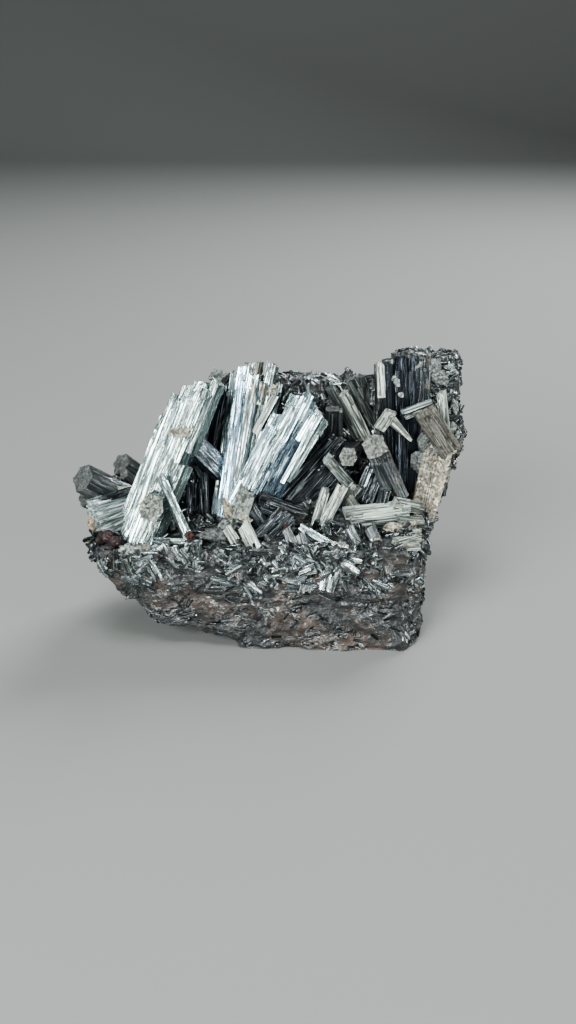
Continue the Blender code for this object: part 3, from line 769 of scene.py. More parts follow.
class CrystalMesh:
    """Gathers shaped crystals and makes them one mesh."""

    def __init__(self, seed: int) -> None:
        """Starts empty, with its own random numbers."""
        self.chance = np.random.default_rng(seed)
        self.parts: list[dict[str, np.ndarray]] = []

    def _relief(self, crystal: Crystal, blank: Blank, surface: Surface) -> tuple[np.ndarray, np.ndarray]:
        """Works the sides of one crystal.

        Args:
            crystal: its size.
            blank: the prism.
            surface: its grooves and steps.

        Returns:
            The rings' places along it, from 0 to 1, and the height of each station on each ring.
        """
        chance, stations, rings = self.chance, blank.stations, blank.rings
        fine = min(1.0, crystal.width / 2.5)
        heights = chance.uniform(-1, 1, stations) * surface.groove * fine
        drift = np.cumsum(chance.normal(0, 0.35 / math.sqrt(rings), (rings + 1, stations)), axis=0)
        relief = heights * (1 + drift)
        for station in np.flatnonzero(chance.random(stations) < surface.furrows):
            first, reach = int(chance.integers(-2, rings)), int(chance.integers(3, rings + 1))
            deep = chance.uniform(0.4, 1.0) * surface.furrow * fine
            relief[max(first, 0) : first + reach, station] -= deep
        places = np.linspace(0, 1, rings + 1)
        places[1:-1] += chance.uniform(-0.3, 0.3, rings - 1) / rings
        for _ in range(surface.steps):
            reach = int(chance.integers(1, max(2, stations // 6)))
            spots = np.arange(reach) + int(chance.integers(stations))
            first = int(chance.integers(max(2, rings // 4), rings - 1))
            places[first] = places[first - 1] + min(0.12 / crystal.length, 0.3 / rings)
            depth = chance.uniform(*surface.step_depth) * fine
            if chance.random() < 0.35:
                last = first + 1  # a crack across
            elif chance.random() < 0.6:
                last = rings + 1  # a step down that runs to the tip
            else:
                last = min(rings, first + int(chance.integers(2, 8)))
            relief[first:last, spots % stations] -= depth
        return np.sort(places), relief

    def _broken(self, spots: np.ndarray, fibre: float) -> np.ndarray:
        """How far each fibre of a broken end falls short.

        Args:
            spots: the fibres' places across the end.
            fibre: how wide the end's blocks are.

        Returns:
            A number for each fibre, from about 0 to 1.
        """
        shift = self.chance.uniform(0, 90, 2)
        heights = []
        for x, y in spots:
            point = Vector((x / fibre + shift[0], y / (fibre * 1.5) + shift[1], 0.5))
            blocks = 0.6 * noise.cell(point) + 0.2 * noise.cell(point * 2.1)
            heights.append(blocks + 0.3 * noise.noise(point * 1.7))
        return np.array(heights)

    def add(self, crystal: Crystal, blank: Blank, surface: Surface) -> None:
        """Shapes one crystal.

        Args:
            crystal: its size and place.
            blank: the prism to shape.
            surface: its grooves and broken end.
        """
        chance, stations = self.chance, blank.stations
        across, out, along = crystal.axes()
        length = crystal.length
        outline, normals, arc = blank.outline(crystal.width, crystal.depth, surface.broad)
        places, relief = self._relief(crystal, blank, surface)
        at = outline[blank.station] + normals[blank.station] * relief[blank.ring, blank.station][:, None]
        place = places[blank.ring]
        flat = at * (blank.reach * (1 - (1 - crystal.taper) * place))[:, None]
        rise = place * length
        tip, foot = blank.place > 0.999, blank.place < 0.001
        ragged = min(surface.ragged, length * 0.12)
        for end, sign, share in ((tip, -1, 1.0), (foot, 1, 0.6)):
            spots = flat[end]
            short = self._broken(spots, surface.fibre) * ragged * share
            short += chance.normal(0, surface.lumpy * 0.4, len(spots))
            rise[end] += sign * short
        rise[tip] += crystal.slope * flat[tip, 0]
        foot_point = np.array(crystal.foot, float)
        world = foot_point + flat[:, :1] * across - flat[:, 1:] * out + rise[:, None] * along
        spot = chance.random(2)
        sides = np.stack((arc[blank.loop_turn], place[blank.loops] * length), axis=1) * MM + spot
        streaks = 1 + chance.normal(0, 0.16, stations)
        streaks += 0.16 * np.repeat(chance.normal(0, 1, stations // 4 + 1), 4)[:stations]
        tones = crystal.tone * chance.uniform(0.85, 1.1) * streaks[blank.face_station]
        vertical = blank.side & ~tip & ~foot
        self.parts.append(
            {
                "points": placed(world),
                "loops": blank.loops,
                "starts": blank.starts,
                "uv": np.where(blank.loop_cap[:, None], flat[blank.loops] * MM + spot, sides),
                TONE: np.where(blank.cap, crystal.end_tone or crystal.tone, tones),
                STAIN: np.full(len(blank.starts), crystal.stain),
                COOL: np.full(len(blank.starts), crystal.cool),
                BROKEN: np.where(blank.cap, 1.0, crystal.rough),
                "ring": np.where(vertical, blank.ring, -1),
            }
        )

    def add_bundle(self, crystals: Iterable[Crystal], kit: "Kit") -> None:
        """Shapes crystals, each with the slivers that lie along its faces.

        Args:
            crystals: the crystals.
            kit: the blanks and surfaces.
        """
        for crystal in crystals:
            if crystal.solo:
                self.add(crystal, kit.stub, kit.stub_surface)
                continue
            long = crystal.length > LONG
            self.add(crystal, kit.core if long else kit.short_core, kit.core_surface)
            self._slivers(crystal, kit)
            if long and crystal.width > WIDE:
                self._end_blocks(crystal, kit)

    def _slivers(self, crystal: Crystal, kit: "Kit") -> None:
        """Lays thin parallel crystals along a crystal's faces, most in front and a few past its tip.

        Args:
            crystal: the crystal.
            kit: the blanks and surfaces.
        """
        chance = self.chance
        across, out, _ = crystal.axes()
        foot, tip = np.array(crystal.foot, float), np.array(crystal.tip, float)
        crowd = kit.core_surface.slivers if crystal.length > TALL else kit.core_surface.short_slivers
        for _ in range(round(crystal.width * crowd)):
            side = 1 if chance.random() < 0.72 else -1
            width = chance.uniform(0.45, 1.3) * min(1.0, crystal.width / 3)
            depth = width * chance.uniform(0.6, 1.1)
            aside = chance.uniform(-0.44, 0.44) * crystal.width
            forward = side * (crystal.depth / 2 - depth / 2 + chance.uniform(0.05, 0.34))
            if abs(aside) > 0.4 * crystal.width:
                forward *= 0.75
            start, end = chance.uniform(-0.01, 0.4), chance.uniform(0.5, 1.0)
            if chance.random() < 0.12:
                end = 1 + chance.uniform(-0.02, 0.35) / crystal.length
            offset = across * aside + out * forward
            low = foot + (tip - foot) * start + offset
            high = foot + (tip - foot) * end + offset * crystal.taper + across * chance.normal(0, 0.12)
            sliver = self._like(crystal, (low, high), (width, depth), (0.1, 0.6, 0.7, 1.15))
            self.add(sliver, kit.sliver, kit.sliver_surface)

    def _like(
        self, crystal: Crystal, ends: tuple[np.ndarray, ...], size: tuple[float, ...], vary: tuple[float, ...]
    ) -> Crystal:
        """Makes a smaller crystal like another.

        Args:
            crystal: the other.
            ends: its foot and its tip.
            size: its width and its depth.
            vary: how far its facing turns, its slope's limit, and the least and most share of the tone.

        Returns:
            The smaller crystal.
        """
        turn, slope, *shares = vary
        facing = np.array(crystal.facing) + crystal.axes()[0] * self.chance.normal(0, turn)
        slope = self.chance.uniform(-slope, slope)
        tone = crystal.tone * self.chance.uniform(*shares)
        placing = dict(zip(("foot", "tip", "facing"), (tuple(each) for each in (*ends, facing))))
        return replace(crystal, **placing, width=size[0], depth=size[1], slope=slope, tone=tone)

    def _end_blocks(self, crystal: Crystal, kit: "Kit") -> None:
        """Lays short broken blocks on the end of a crystal, with a crack below each.

        Args:
            crystal: the crystal.
            kit: the blanks and surfaces.
        """
        chance = self.chance
        across, out, along = crystal.axes()
        tip = np.array(crystal.tip, float)
        for _ in range(3):
            width = crystal.width * chance.uniform(0.3, 0.75)
            depth = crystal.depth * chance.uniform(0.5, 0.95)
            aside = chance.uniform(-0.5, 0.5) * (crystal.width - width)
            forward = (crystal.depth - depth) / 2 + chance.uniform(0.05, 0.3)
            high = tip + across * aside + out * forward + along * chance.uniform(-1.6, 0.5)
            low = high - along * chance.uniform(1.5, 4.5)
            block = self._like(crystal, (low, high), (width, depth), (0.15, 0.4, 0.75, 1.0))
            self.add(block, kit.short_core, kit.block_surface)

    def make(self, name: str) -> bpy.types.Object:
        """Makes the mesh.

        Args:
            name: the piece's name.

        Returns:
            The piece.
        """
        joined = {key: np.concatenate([part[key] for part in self.parts]) for key in self.parts[0]}
        sizes = np.array([[len(part[key]) for key in ("points", "loops", "starts")] for part in self.parts])
        before = np.cumsum(sizes, axis=0) - sizes
        loops = joined["loops"] + np.repeat(before[:, 0], sizes[:, 1])
        starts = joined["starts"] + np.repeat(before[:, 1], sizes[:, 2])
        piece = mesh_from(name, joined["points"], loops, starts)
        mesh, ring = piece.data, joined["ring"]
        mark(mesh, joined["uv"], {key: joined[key] for key in (TONE, STAIN, COOL, BROKEN)})
        ends = np.zeros(len(mesh.edges) * 2, np.int32)
        mesh.edges.foreach_get("vertices", ends)
        first, second = ring[ends[::2]], ring[ends[1::2]]
        level = (first == second) & (first > 0)
        mesh.attributes.new("sharp_edge", "BOOLEAN", "EDGE").data.foreach_set("value", ~level)
        return piece


def prism(sides: int, radius: float) -> bpy.types.Object:
    """Models an upright prism, one unit long, round the origin."""
    bpy.ops.object.select_all(action="DESELECT")
    bpy.ops.mesh.primitive_cylinder_add(vertices=sides, radius=radius, depth=1, end_fill_type="NGON")
    return bpy.context.object


def upright(solid: bpy.types.Object, edge: bpy.types.MeshEdge) -> bool:
    """Whether an edge of a new prism runs along it."""
    low, high = (solid.data.vertices[index].co.z for index in edge.vertices)
    return abs(low - high) > 0.5


def select(solid: bpy.types.Object, kind: str, wanted: Callable[[Any], bool]) -> None:
    """Selects a mesh's edges or faces by a test, and leaves it in edit mode.

    Args:
        solid: the object, which is the active one.
        kind: EDGE or FACE.
        wanted: the test.
    """
    bpy.ops.object.mode_set(mode="EDIT")
    bpy.ops.mesh.select_mode(type=kind)
    bpy.ops.mesh.select_all(action="DESELECT")
    bpy.ops.object.mode_set(mode="OBJECT")
    for item in solid.data.edges if kind == "EDGE" else solid.data.polygons:
        item.select = wanted(item)
    bpy.ops.object.mode_set(mode="EDIT")


def mesh_from(name: str, points: np.ndarray, loops: np.ndarray, starts: np.ndarray) -> bpy.types.Object:
    """Makes a mesh object from arrays.

    Args:
        name: its name.
        points: the vertices.
        loops: the faces' vertices, one face after another.
        starts: where each face starts in loops.

    Returns:
        The object, linked to the scene.
    """
    mesh = bpy.data.meshes.new(name)
    mesh.vertices.add(len(points))
    mesh.vertices.foreach_set("co", points.astype(np.float32).ravel())
    mesh.loops.add(len(loops))
    mesh.loops.foreach_set("vertex_index", loops.astype(np.int32))
    mesh.polygons.add(len(starts))
    mesh.polygons.foreach_set("loop_start", starts.astype(np.int32))
    mesh.update(calc_edges=True)
    return linked(name, mesh)


def read(items: bpy.types.bpy_prop_collection, field: str) -> np.ndarray:
    """Reads one vector of each vertex or face."""
    values = np.zeros(len(items) * 3, np.float32)
    items.foreach_get(field, values)
    return values.reshape(-1, 3).astype(float)


def mark(mesh: bpy.types.Mesh, uv: np.ndarray, marks: dict[str, np.ndarray]) -> None:
    """Gives a mesh what its finish reads.

    Args:
        mesh: the mesh.
        uv: the grain map's place of each corner, in metres across the grain and along it.
        marks: each mark's name, to its value on each face.
    """
    mesh.uv_layers.new(name=GRAIN_MAP).data.foreach_set("uv", uv.astype(np.float32).ravel())
    for name, values in marks.items():
        layer = mesh.attributes.new(name, "FLOAT", "FACE")
        layer.data.foreach_set("value", values.astype(np.float32))


def linked(name: str, data: Any) -> bpy.types.Object:
    """Makes an object of a mesh, a light or a camera, in the scene."""
    made = bpy.data.objects.new(name, data)
    bpy.context.scene.collection.objects.link(made)
    return made


class Kit:
    """The blanks and the surfaces that the crystals are shaped with."""

    def __init__(self) -> None:
        """Models the blanks."""
        self.core = Blank(side_steps=4, face_steps=15, rings=26, cap_rings=4)
        self.short_core = Blank(side_steps=4, face_steps=10, rings=9, cap_rings=3)
        self.sliver = Blank(side_steps=2, face_steps=3, rings=7, cap_rings=1)
        self.stub = Blank(side_steps=8, face_steps=9, rings=10, cap_rings=7)
        self.core_surface = Surface()
        self.sliver_surface = Surface(
            broad=0.7, groove=0.02, furrow=0.0, furrows=0.0, steps=1, step_depth=(0.05, 0.15), ragged=0.2,
            fibre=1.0, lumpy=0.05,
        )
        self.stub_surface = Surface(
            broad=0.6, groove=0.03, furrow=0.12, furrows=0.12, step_depth=(0.12, 0.35), ragged=0.3, fibre=1.2,
            lumpy=0.2,
        )
        self.block_surface = Surface(
            broad=0.8, groove=0.02, furrow=0.1, furrows=0.08, steps=3, step_depth=(0.1, 0.25), ragged=0.4,
            fibre=1.0, lumpy=0.12,
        )


# ---------------------------------------------------------------- sub-assemblies


@dataclass
class Growth:
    """The crystals that stand for one node of the frame, and their finish."""

    node: str
    finish: CrystalFinish
    crystals: list[Crystal]


@dataclass
class SubAssembly:
    """A part of the specimen made of crystal growths."""

    seed: int

    def growths(self) -> list[Growth]:
        """The growths that it is made of, which each kind of sub-assembly gives."""
        raise NotImplementedError

    def build(self, kit: Kit, materials: "Materials") -> None:
        """Builds, dresses and reports each growth.

        Args:
            kit: the blanks and surfaces.
            materials: the finishes' materials.
        """
        for index, growth in enumerate(self.growths()):
            gathered = CrystalMesh(self.seed * 100 + index)
            gathered.add_bundle(growth.crystals, kit)
            settle(gathered.make(growth.node + "_crystals"), materials, growth.finish, growth.node)


@dataclass
class LeftSlab(SubAssembly):
    """The broad pale bundle at the left, with its stub, and the blades that lean on it and cross it."""

    foot: Triple = (-42.0, -18.0, 33.5)
    tip: Triple = (-20.6, -4.0, 83.5)

    def growths(self) -> list[Growth]:
        """Lays out its crystals.

        Returns:
            Its growths.
        """
        slab = bundle(
            self.foot,
            self.tip,
            (
                Slat(-5.2, -6.0, 3.2, 7.0, 0.02, 0.74, 0.0, 0.5, 1.05),
                Slat(-3.2, -4.0, 4.0, 7.6, 0.0, 0.87, 0.1, 0.5, 1.05),
                Slat(-0.6, -1.2, 4.6, 8.0, 0.0, 0.95, 0.15, 0.4, 1.1),
                Slat(2.4, 2.2, 4.6, 8.0, 0.0, 0.99, 0.1, 0.2, 1.05),
                Slat(4.4, 4.4, 3.0, 7.4, 0.0, 0.97, -0.1, -0.3, 0.95),
                Slat(6.0, 6.3, 2.8, 5.4, 0.60, 1.03, -0.2, -0.5, 1.05),
                Slat(5.4, 6.6, 4.6, 6.6, 0.05, 0.53, 1.0, -0.1, 0.85),
            ),
            TOWARDS_LIGHT,
        )
        stump = stub(
            (-33.6, -16.0, 46.4), (-35.4, -25.5, 48.6), 8.2, 8.6, (0.3, 0, 1), 0.7, 1.0, slope=0.1, stain=0.4
        )
        crossing = [
            Crystal((-15.0, 3.2, 50.2), (-24.4, -2.6, 62.6), 7.4, 4.4, SIDEWAYS, tone=1.1, cool=0.5),
            Crystal((-17.5, 4.6, 38.0), (-23.2, 2.4, 54.0), 5.6, 4.6, SIDEWAYS, tone=0.3),
            # Painted shade: the next three crystals, in the gap between the slab and the middle bundle, are
            # nearly black for the shade in that gap.
            Crystal((-20.8, -2.4, 35.0), (-21.4, 2.4, 50.0), 4.6, 4.0, tone=0.14),
            Crystal((-25.0, -4.0, 35.0), (-24.6, -0.6, 47.4), 4.4, 4.0, tone=0.12),
            Crystal((-18.6, 8.0, 50.0), (-13.2, 11.6, 77.6), 6.4, 4.0, tone=0.06, cool=0.6),
            Crystal((-17.4, 7.4, 58.0), (-12.8, 9.6, 72.6), 1.4, 2.0, tone=0.5, stain=0.3),
        ]
        prop = Crystal((-24.6, -22.6, 37.5), (-32.8, -20.6, 57.4), 2.9, 1.9, SIDEWAYS, 0.3, tone=1.2)
        return [
            Growth("leaning_slab_bundle", SILVER, slab + [stump]),
            Growth("prop_blade", SILVER, [prop]),
            Growth("cross_blades", DARK, crossing),
        ]


@dataclass
class LeftEnd(SubAssembly):
    """The broken stubs and the low spray at the left end."""

    def growths(self) -> list[Growth]:
        """Lays out its crystals.

        Returns:
            Its growths.
        """
        block = [
            stub((-45.0, -6.0, 43.0), (-58.0, -14.4, 54.4), 9.4, 8.4, TURNED_UP, 0.36, slope=0.15),
            stub((-48.0, -4.0, 39.0), (-58.4, -11.6, 46.6), 5.6, 5.4, (0, -0.5, 1), 0.3),
        ]
        rear = [
            stub((-37.6, 9.6, 41.0), (-48.2, 2.2, 53.2), 7.4, 7.0, TURNED_UP, 0.34),
            stub((-41.6, -0.4, 42.0), (-50.4, -4.6, 49.2), 5.4, 4.8, (0.3, -0.4, 1), 0.3),
            stub((-40.6, -1.0, 44.6), (-46.4, -4.8, 52.2), 3.8, 3.4, (0.5, -0.6, 1), 0.5, stain=0.3),
        ]
        thin = [
            Crystal((-40.4, -10.0, 49.6), (-54.4, -18.4, 47.6), 2.6, 2.2, tone=0.4),
            Crystal((-42.4, -6.4, 46.4), (-51.8, -10.8, 52.6), 2.8, 2.4, UPWARDS, tone=1.3, stain=0.3),
        ]
        spray = bundle(
            (-42.4, -9.6, 43.2),
            (-53.4, -21.6, 43.0),
            (
                Slat(3.8, 4.6, 3.0, 4.4, 0.0, 0.98, 0.0),
                Slat(1.6, 1.8, 2.8, 4.8, 0.0, 1.04, 0.4, tone=0.9),
                Slat(-0.8, -0.9, 2.8, 4.8, 0.0, 1.05, 0.0, tone=0.7),
                Slat(-3.0, -3.4, 2.8, 4.4, 0.0, 1.0, 0.4, tone=0.8),
            ),
        )
        # Painted highlight: the spray lies face up and its tones are doubled, so that its colour paints the
        # bright reflection on its faces.
        spray = [
            replace(each, facing=UPWARDS, width=each.depth, depth=each.width, cool=0.6, tone=2.0 * each.tone)
            for each in spray
        ]
        spray += [
            Crystal((-47.4, -8.6, 49.4), (-56.4, -13.6, 57.4), 1.4, 1.3, UPWARDS, tone=1.2),
            pale((-45.4, -6.4, 46.8), (-50.6, -9.4, 51.6), 2.8, 2.4, 1.7, facing=UPWARDS),
            pale((-41.0, -9.4, 47.0), (-47.6, -12.2, 49.4), 2.8, 2.2, 1.3, 0.5, facing=UPWARDS),
        ]
        return [
            Growth("left_stub_block", ROUGH, block),
            Growth("left_rear_stub", ROUGH, rear),
            Growth("left_thin_blades", DARK, thin),
            Growth("left_low_spray", PAINTED_BRIGHT, spray),
        ]


@dataclass
class CentreBundles(SubAssembly):
    """The upright bundle in the middle, the bright fan beside it and the dark fan behind that."""

    upright_foot: Triple = (-13.0, -2.0, 34.5)
    upright_tip: Triple = (-3.0, 12.0, 84.5)
    fan_foot: Triple = (-4.6, -4.5, 36.5)
    fan_tip: Triple = (12.4, 8.5, 75.2)

    def growths(self) -> list[Growth]:
        """Lays out its crystals.

        Returns:
            Its growths.
        """
        upright = bundle(
            self.upright_foot,
            self.upright_tip,
            (
                Slat(-4.0, -6.4, 3.4, 6.0, 0.0, 0.92, -0.6, tone=0.45),
                Slat(-1.2, -3.4, 4.6, 8.4, 0.0, 0.965, 0.2, tone=1.3, cool=0.9),
                Slat(2.0, 0.4, 4.4, 7.8, 0.0, 0.93, 0.1, tone=1.0, stain=0.35, cool=0.0),
                Slat(4.0, 4.9, 3.4, 5.4, 0.30, 1.02, -1.4, -0.3, 0.75, 0.35, 0.0),
                Slat(5.8, 8.6, 3.2, 4.2, 0.42, 0.90, -2.6, -0.2, 0.12, 0.3, 0.0),
                Slat(2.9, 2.4, 0.9, 7.0, 0.28, 0.86, 0.9, 0.2, 0.1),
                Slat(-2.0, -0.9, 5.4, 6.6, 0.93, 1.0, 0.8, 0.3, 0.6, 0.7),
                Slat(2.2, 2.8, 4.6, 6.0, 0.76, 0.90, 1.0, -0.3, 0.6, 0.7),
            ),
            HALF_TURNED,
        )
        fan = bundle(
            self.fan_foot,
            self.fan_tip,
            (
                Slat(-7.6, -4.3, 4.0, 7.2, 0.02, 0.78, 0.0, 0.4, 1.0, cool=0.5, facing=HALF_TURNED),
                Slat(-4.7, -1.0, 4.2, 7.8, 0.0, 0.97, 0.05, 0.3, 1.1, cool=0.3, facing=HALF_TURNED),
                Slat(-2.0, 2.0, 4.2, 7.8, 0.0, 1.01, 0.0, 0.0, 0.8, cool=0.5, facing=HALF_TURNED),
                Slat(0.4, 4.4, 3.8, 7.4, 0.1, 0.965, -0.1, -0.3, 0.5, cool=0.6),
                Slat(1.9, 7.6, 4.4, 7.4, 0.33, 0.915, 0.35, -0.4, 1.2, cool=0.3, facing=HALF_TURNED),
                Slat(2.7, 10.4, 3.0, 5.6, 0.36, 0.885, 0.0, -0.3, 0.6, 0.2, 0.0),
                # Painted shade: the four darker slats below lie in front of the lower and middle part of the
                # fan and paint the shade across it.
                Slat(0.2, 4.6, 4.6, 7.2, 0.03, 0.66, 0.8, 0.3, 0.14, cool=0.8),
                Slat(-2.4, 0.6, 3.0, 7.4, 0.02, 0.44, 0.6, 0.3, 0.28, cool=0.8),
                Slat(-1.4, 2.4, 1.3, 7.6, 0.30, 0.80, 0.5, 0.3, 0.3, cool=0.8),
                Slat(2.6, 7.0, 5.0, 6.8, 0.02, 0.345, 0.3, 0.2, 0.12, cool=0.6),
            ),
        )
        dark_fan = bundle(
            (5.0, 1.5, 34.0),
            (27.6, 13.0, 56.5),
            (
                Slat(-5.2, -5.6, 3.4, 5.4, 0.1, 0.96, -0.4, tone=0.2),
                Slat(-2.4, -2.8, 3.4, 6.2, 0.0, 1.0, 0.2, tone=0.14),
                Slat(0.4, 0.2, 3.4, 6.2, 0.0, 1.0, -0.2, tone=0.22),
                Slat(3.2, 3.0, 3.4, 5.8, 0.0, 0.92, 0.3, tone=0.14),
                Slat(5.8, 5.6, 3.0, 5.0, 0.05, 0.8, -0.3, tone=0.25),
            ),
        )
        slim = [Crystal((-3.8, 3.2, 63.6), (2.8, 6.4, 75.2), 2.4, 1.8, tone=2.0)]
        return [
            Growth("tall_centre_bundle", SILVER, upright),
            Growth("right_fan_bundle", SILVER, fan),
            Growth("dark_fan_blades", DARK, dark_fan),
            Growth("slim_blade", PAINTED_BRIGHT, slim),
        ]


@dataclass
class Hollow(SubAssembly):
    """The crystals in and round the hollow between the fan and the right-hand column."""

    def growths(self) -> list[Growth]:
        """Lays out its crystals.

        Returns:
            Its growths.
        """
        block = [
            Crystal((21.7, 17.6, 56.0), (21.9, 15.6, 68.0), 5.0, 4.4, slope=0.0, tone=0.6, stain=0.2),
            Crystal((24.6, 16.6, 58.0), (24.4, 14.8, 67.6), 1.9, 2.6, slope=0.0, tone=1.0),
        ]
        spray = [
            pale((33.5, 18.4, 56.5), (25.4, 18.6, 72.6), 3.2, 3.6, 1.6, 0.3, facing=SIDEWAYS),
            Crystal((30.4, 19.8, 57.0), (21.2, 19.4, 74.2), 3.0, 3.0, SIDEWAYS, tone=0.3),
            Crystal((36.0, 20.0, 61.0), (28.2, 19.4, 77.2), 2.8, 3.0, SIDEWAYS, tone=0.35),
            Crystal((34.0, 21.0, 64.0), (31.6, 19.6, 78.0), 3.0, 3.0, SIDEWAYS, tone=0.25),
        ]
        small = stub(
            (29.6, 14.5, 53.5), (26.7, -0.5, 56.6), 6.2, 6.2, (0, 0, 1), 0.3, 0.7, slope=0.1, stain=0.3
        )
        large = stub(
            (43.4, 0.8, 42.0), (35.6, -0.4, 59.6), 8.6, 7.6, (0.5, 0, 1), 0.26, 0.75, slope=0.9, stain=0.3
        )
        wedge = [
            Crystal((30.5, 2.5, 36.5), (36.4, 5.6, 51.4), 7.4, 5.0, slope=0.5, tone=0.36),
            Crystal((36.4, -5.0, 36.0), (38.8, -4.4, 47.0), 4.0, 3.6, tone=0.6),
        ]
        rods = [
            Crystal((15.2, -8.4, 34.5), (19.2, -5.2, 47.4), 2.8, 2.8, tone=1.4),
            pale((17.4, -8.6, 33.5), (24.8, -4.2, 47.6), 4.0, 3.4, 1.4, 0.4),
            Crystal((21.0, -2.4, 35.0), (29.6, 0.4, 46.4), 4.4, 4.0, tone=0.5),
            Crystal((31.4, -3.4, 37.0), (27.2, -2.2, 43.6), 2.8, 2.6, tone=0.7, stain=0.5),
        ]
        rod = Crystal((28.2, 5.4, 44.0), (19.8, -0.6, 56.0), 3.8, 3.4, tone=1.4)
        lying = [
            Crystal((47.0, -6.0, 41.6), (25.4, -8.2, 39.8), 3.2, 3.4, UPWARDS, tone=1.9),
            Crystal((46.2, -8.4, 38.6), (27.4, -10.2, 37.2), 3.6, 4.0, UPWARDS, tone=1.3),
            pale((44.0, -8.2, 40.6), (31.4, -9.8, 39.6), 1.5, 1.8, 2.6, 0.0, facing=UPWARDS),
            Crystal((45.0, -11.0, 38.0), (34.0, -11.4, 37.4), 1.3, 1.6, tone=0.3),
            Crystal((51.0, -3.0, 39.6), (41.6, -7.8, 43.4), 3.2, 3.2, UPWARDS, tone=1.1, stain=0.3),
            Crystal((50.6, -8.0, 36.4), (42.0, -11.4, 38.6), 3.4, 3.6, UPWARDS, tone=0.5),
        ]
        return [
            Growth("grey_block_crystal", ROUGH, block),
            Growth("back_wall_spray", PAINTED_BRIGHT, spray),
            Growth("hex_stub_small", ROUGH, [small]),
            Growth("hex_stub_large", ROUGH, [large]),
            Growth("dark_wedge_crystals", DARK, wedge),
            Growth("striated_rod", PAINTED_BRIGHT, [rod]),
            Growth("hollow_rods", PAINTED_BRIGHT, rods),
            Growth("lying_pale_crystals", PAINTED_BRIGHT, lying),
            Growth("hollow_spikes", PAINTED_BRIGHT, [pale((37.4, 5.8, 64.8), (40.2, 3.0, 70.6), 4.2, 3.0, 1.9)]),
        ]


@dataclass
class Tower(SubAssembly):
    """The crystals on the column of ore at the right."""

    def growths(self) -> list[Growth]:
        """Lays out its crystals.

        Returns:
            Its growths.
        """
        columns = bundle(
            (46.4, 9.0, 41.0),
            (45.8, 15.0, 86.5),
            (
                Slat(-7.6, -9.0, 3.2, 4.6, 0.34, 0.93, -0.4, -0.4, 0.3, 0.3, 0.0),
                Slat(-4.8, -5.8, 4.2, 7.0, 0.0, 0.97, 0.0, 0.2, 0.12),
                Slat(-1.2, -2.0, 4.6, 8.6, 0.0, 1.0, 0.8, 0.2, 0.1, cool=0.5),
                Slat(2.4, 2.2, 4.4, 8.0, 0.02, 1.0, 0.0, 0.1, 0.12, cool=0.5),
                Slat(5.8, 6.0, 4.4, 7.6, 0.06, 0.99, -0.6, 0.1, 0.22, 0.3, 0.0),
            ),
        )
        small = [
            pale((59.4, 8.6, 61.6), (57.2, 8.0, 76.0), 2.8, 3.4, 1.7, 0.3, facing=TOWARDS_LIGHT),
            Crystal((53.4, 5.4, 73.6), (44.2, 1.8, 71.2), 1.9, 2.2, tone=1.6, cool=0.5),
            Crystal((50.4, 4.0, 71.0), (45.4, 1.8, 69.4), 1.6, 1.8, tone=1.0, cool=0.3),
            pale((37.9, 11.4, 73.4), (37.2, 13.2, 84.6), 2.8, 4.4, 1.8, slope=-0.4),
        ]
        flank = [
            pale((54.0, 4.0, 33.0), (60.0, 7.0, 58.8), 5.0, 4.4, 1.1, 0.5, rough=0.85),
            pale((51.0, 4.6, 36.0), (54.8, 6.4, 60.4), 5.6, 4.4, 0.8, 0.4, rough=0.8),
        ]
        brown = [
            pale((60.6, 5.4, 56.6), (51.2, 2.4, 71.6), 7.8, 3.2, 0.8, 0.4, slope=-0.3, rough=0.3)
        ]
        spike = [pale((47.6, 4.0, 60.8), (40.6, 2.8, 68.2), 1.1, 1.2, 1.9, slope=0.4, taper=3.2)]
        return [
            Growth("tower_columns", DARK, columns),
            Growth("tower_small_blades", PAINTED_BRIGHT, small),
            Growth("pale_flank_blades", STAINED, flank),
            Growth("brown_blade", BROWN, brown),
            Growth("bright_spike", PAINTED_BRIGHT, spike),
        ]


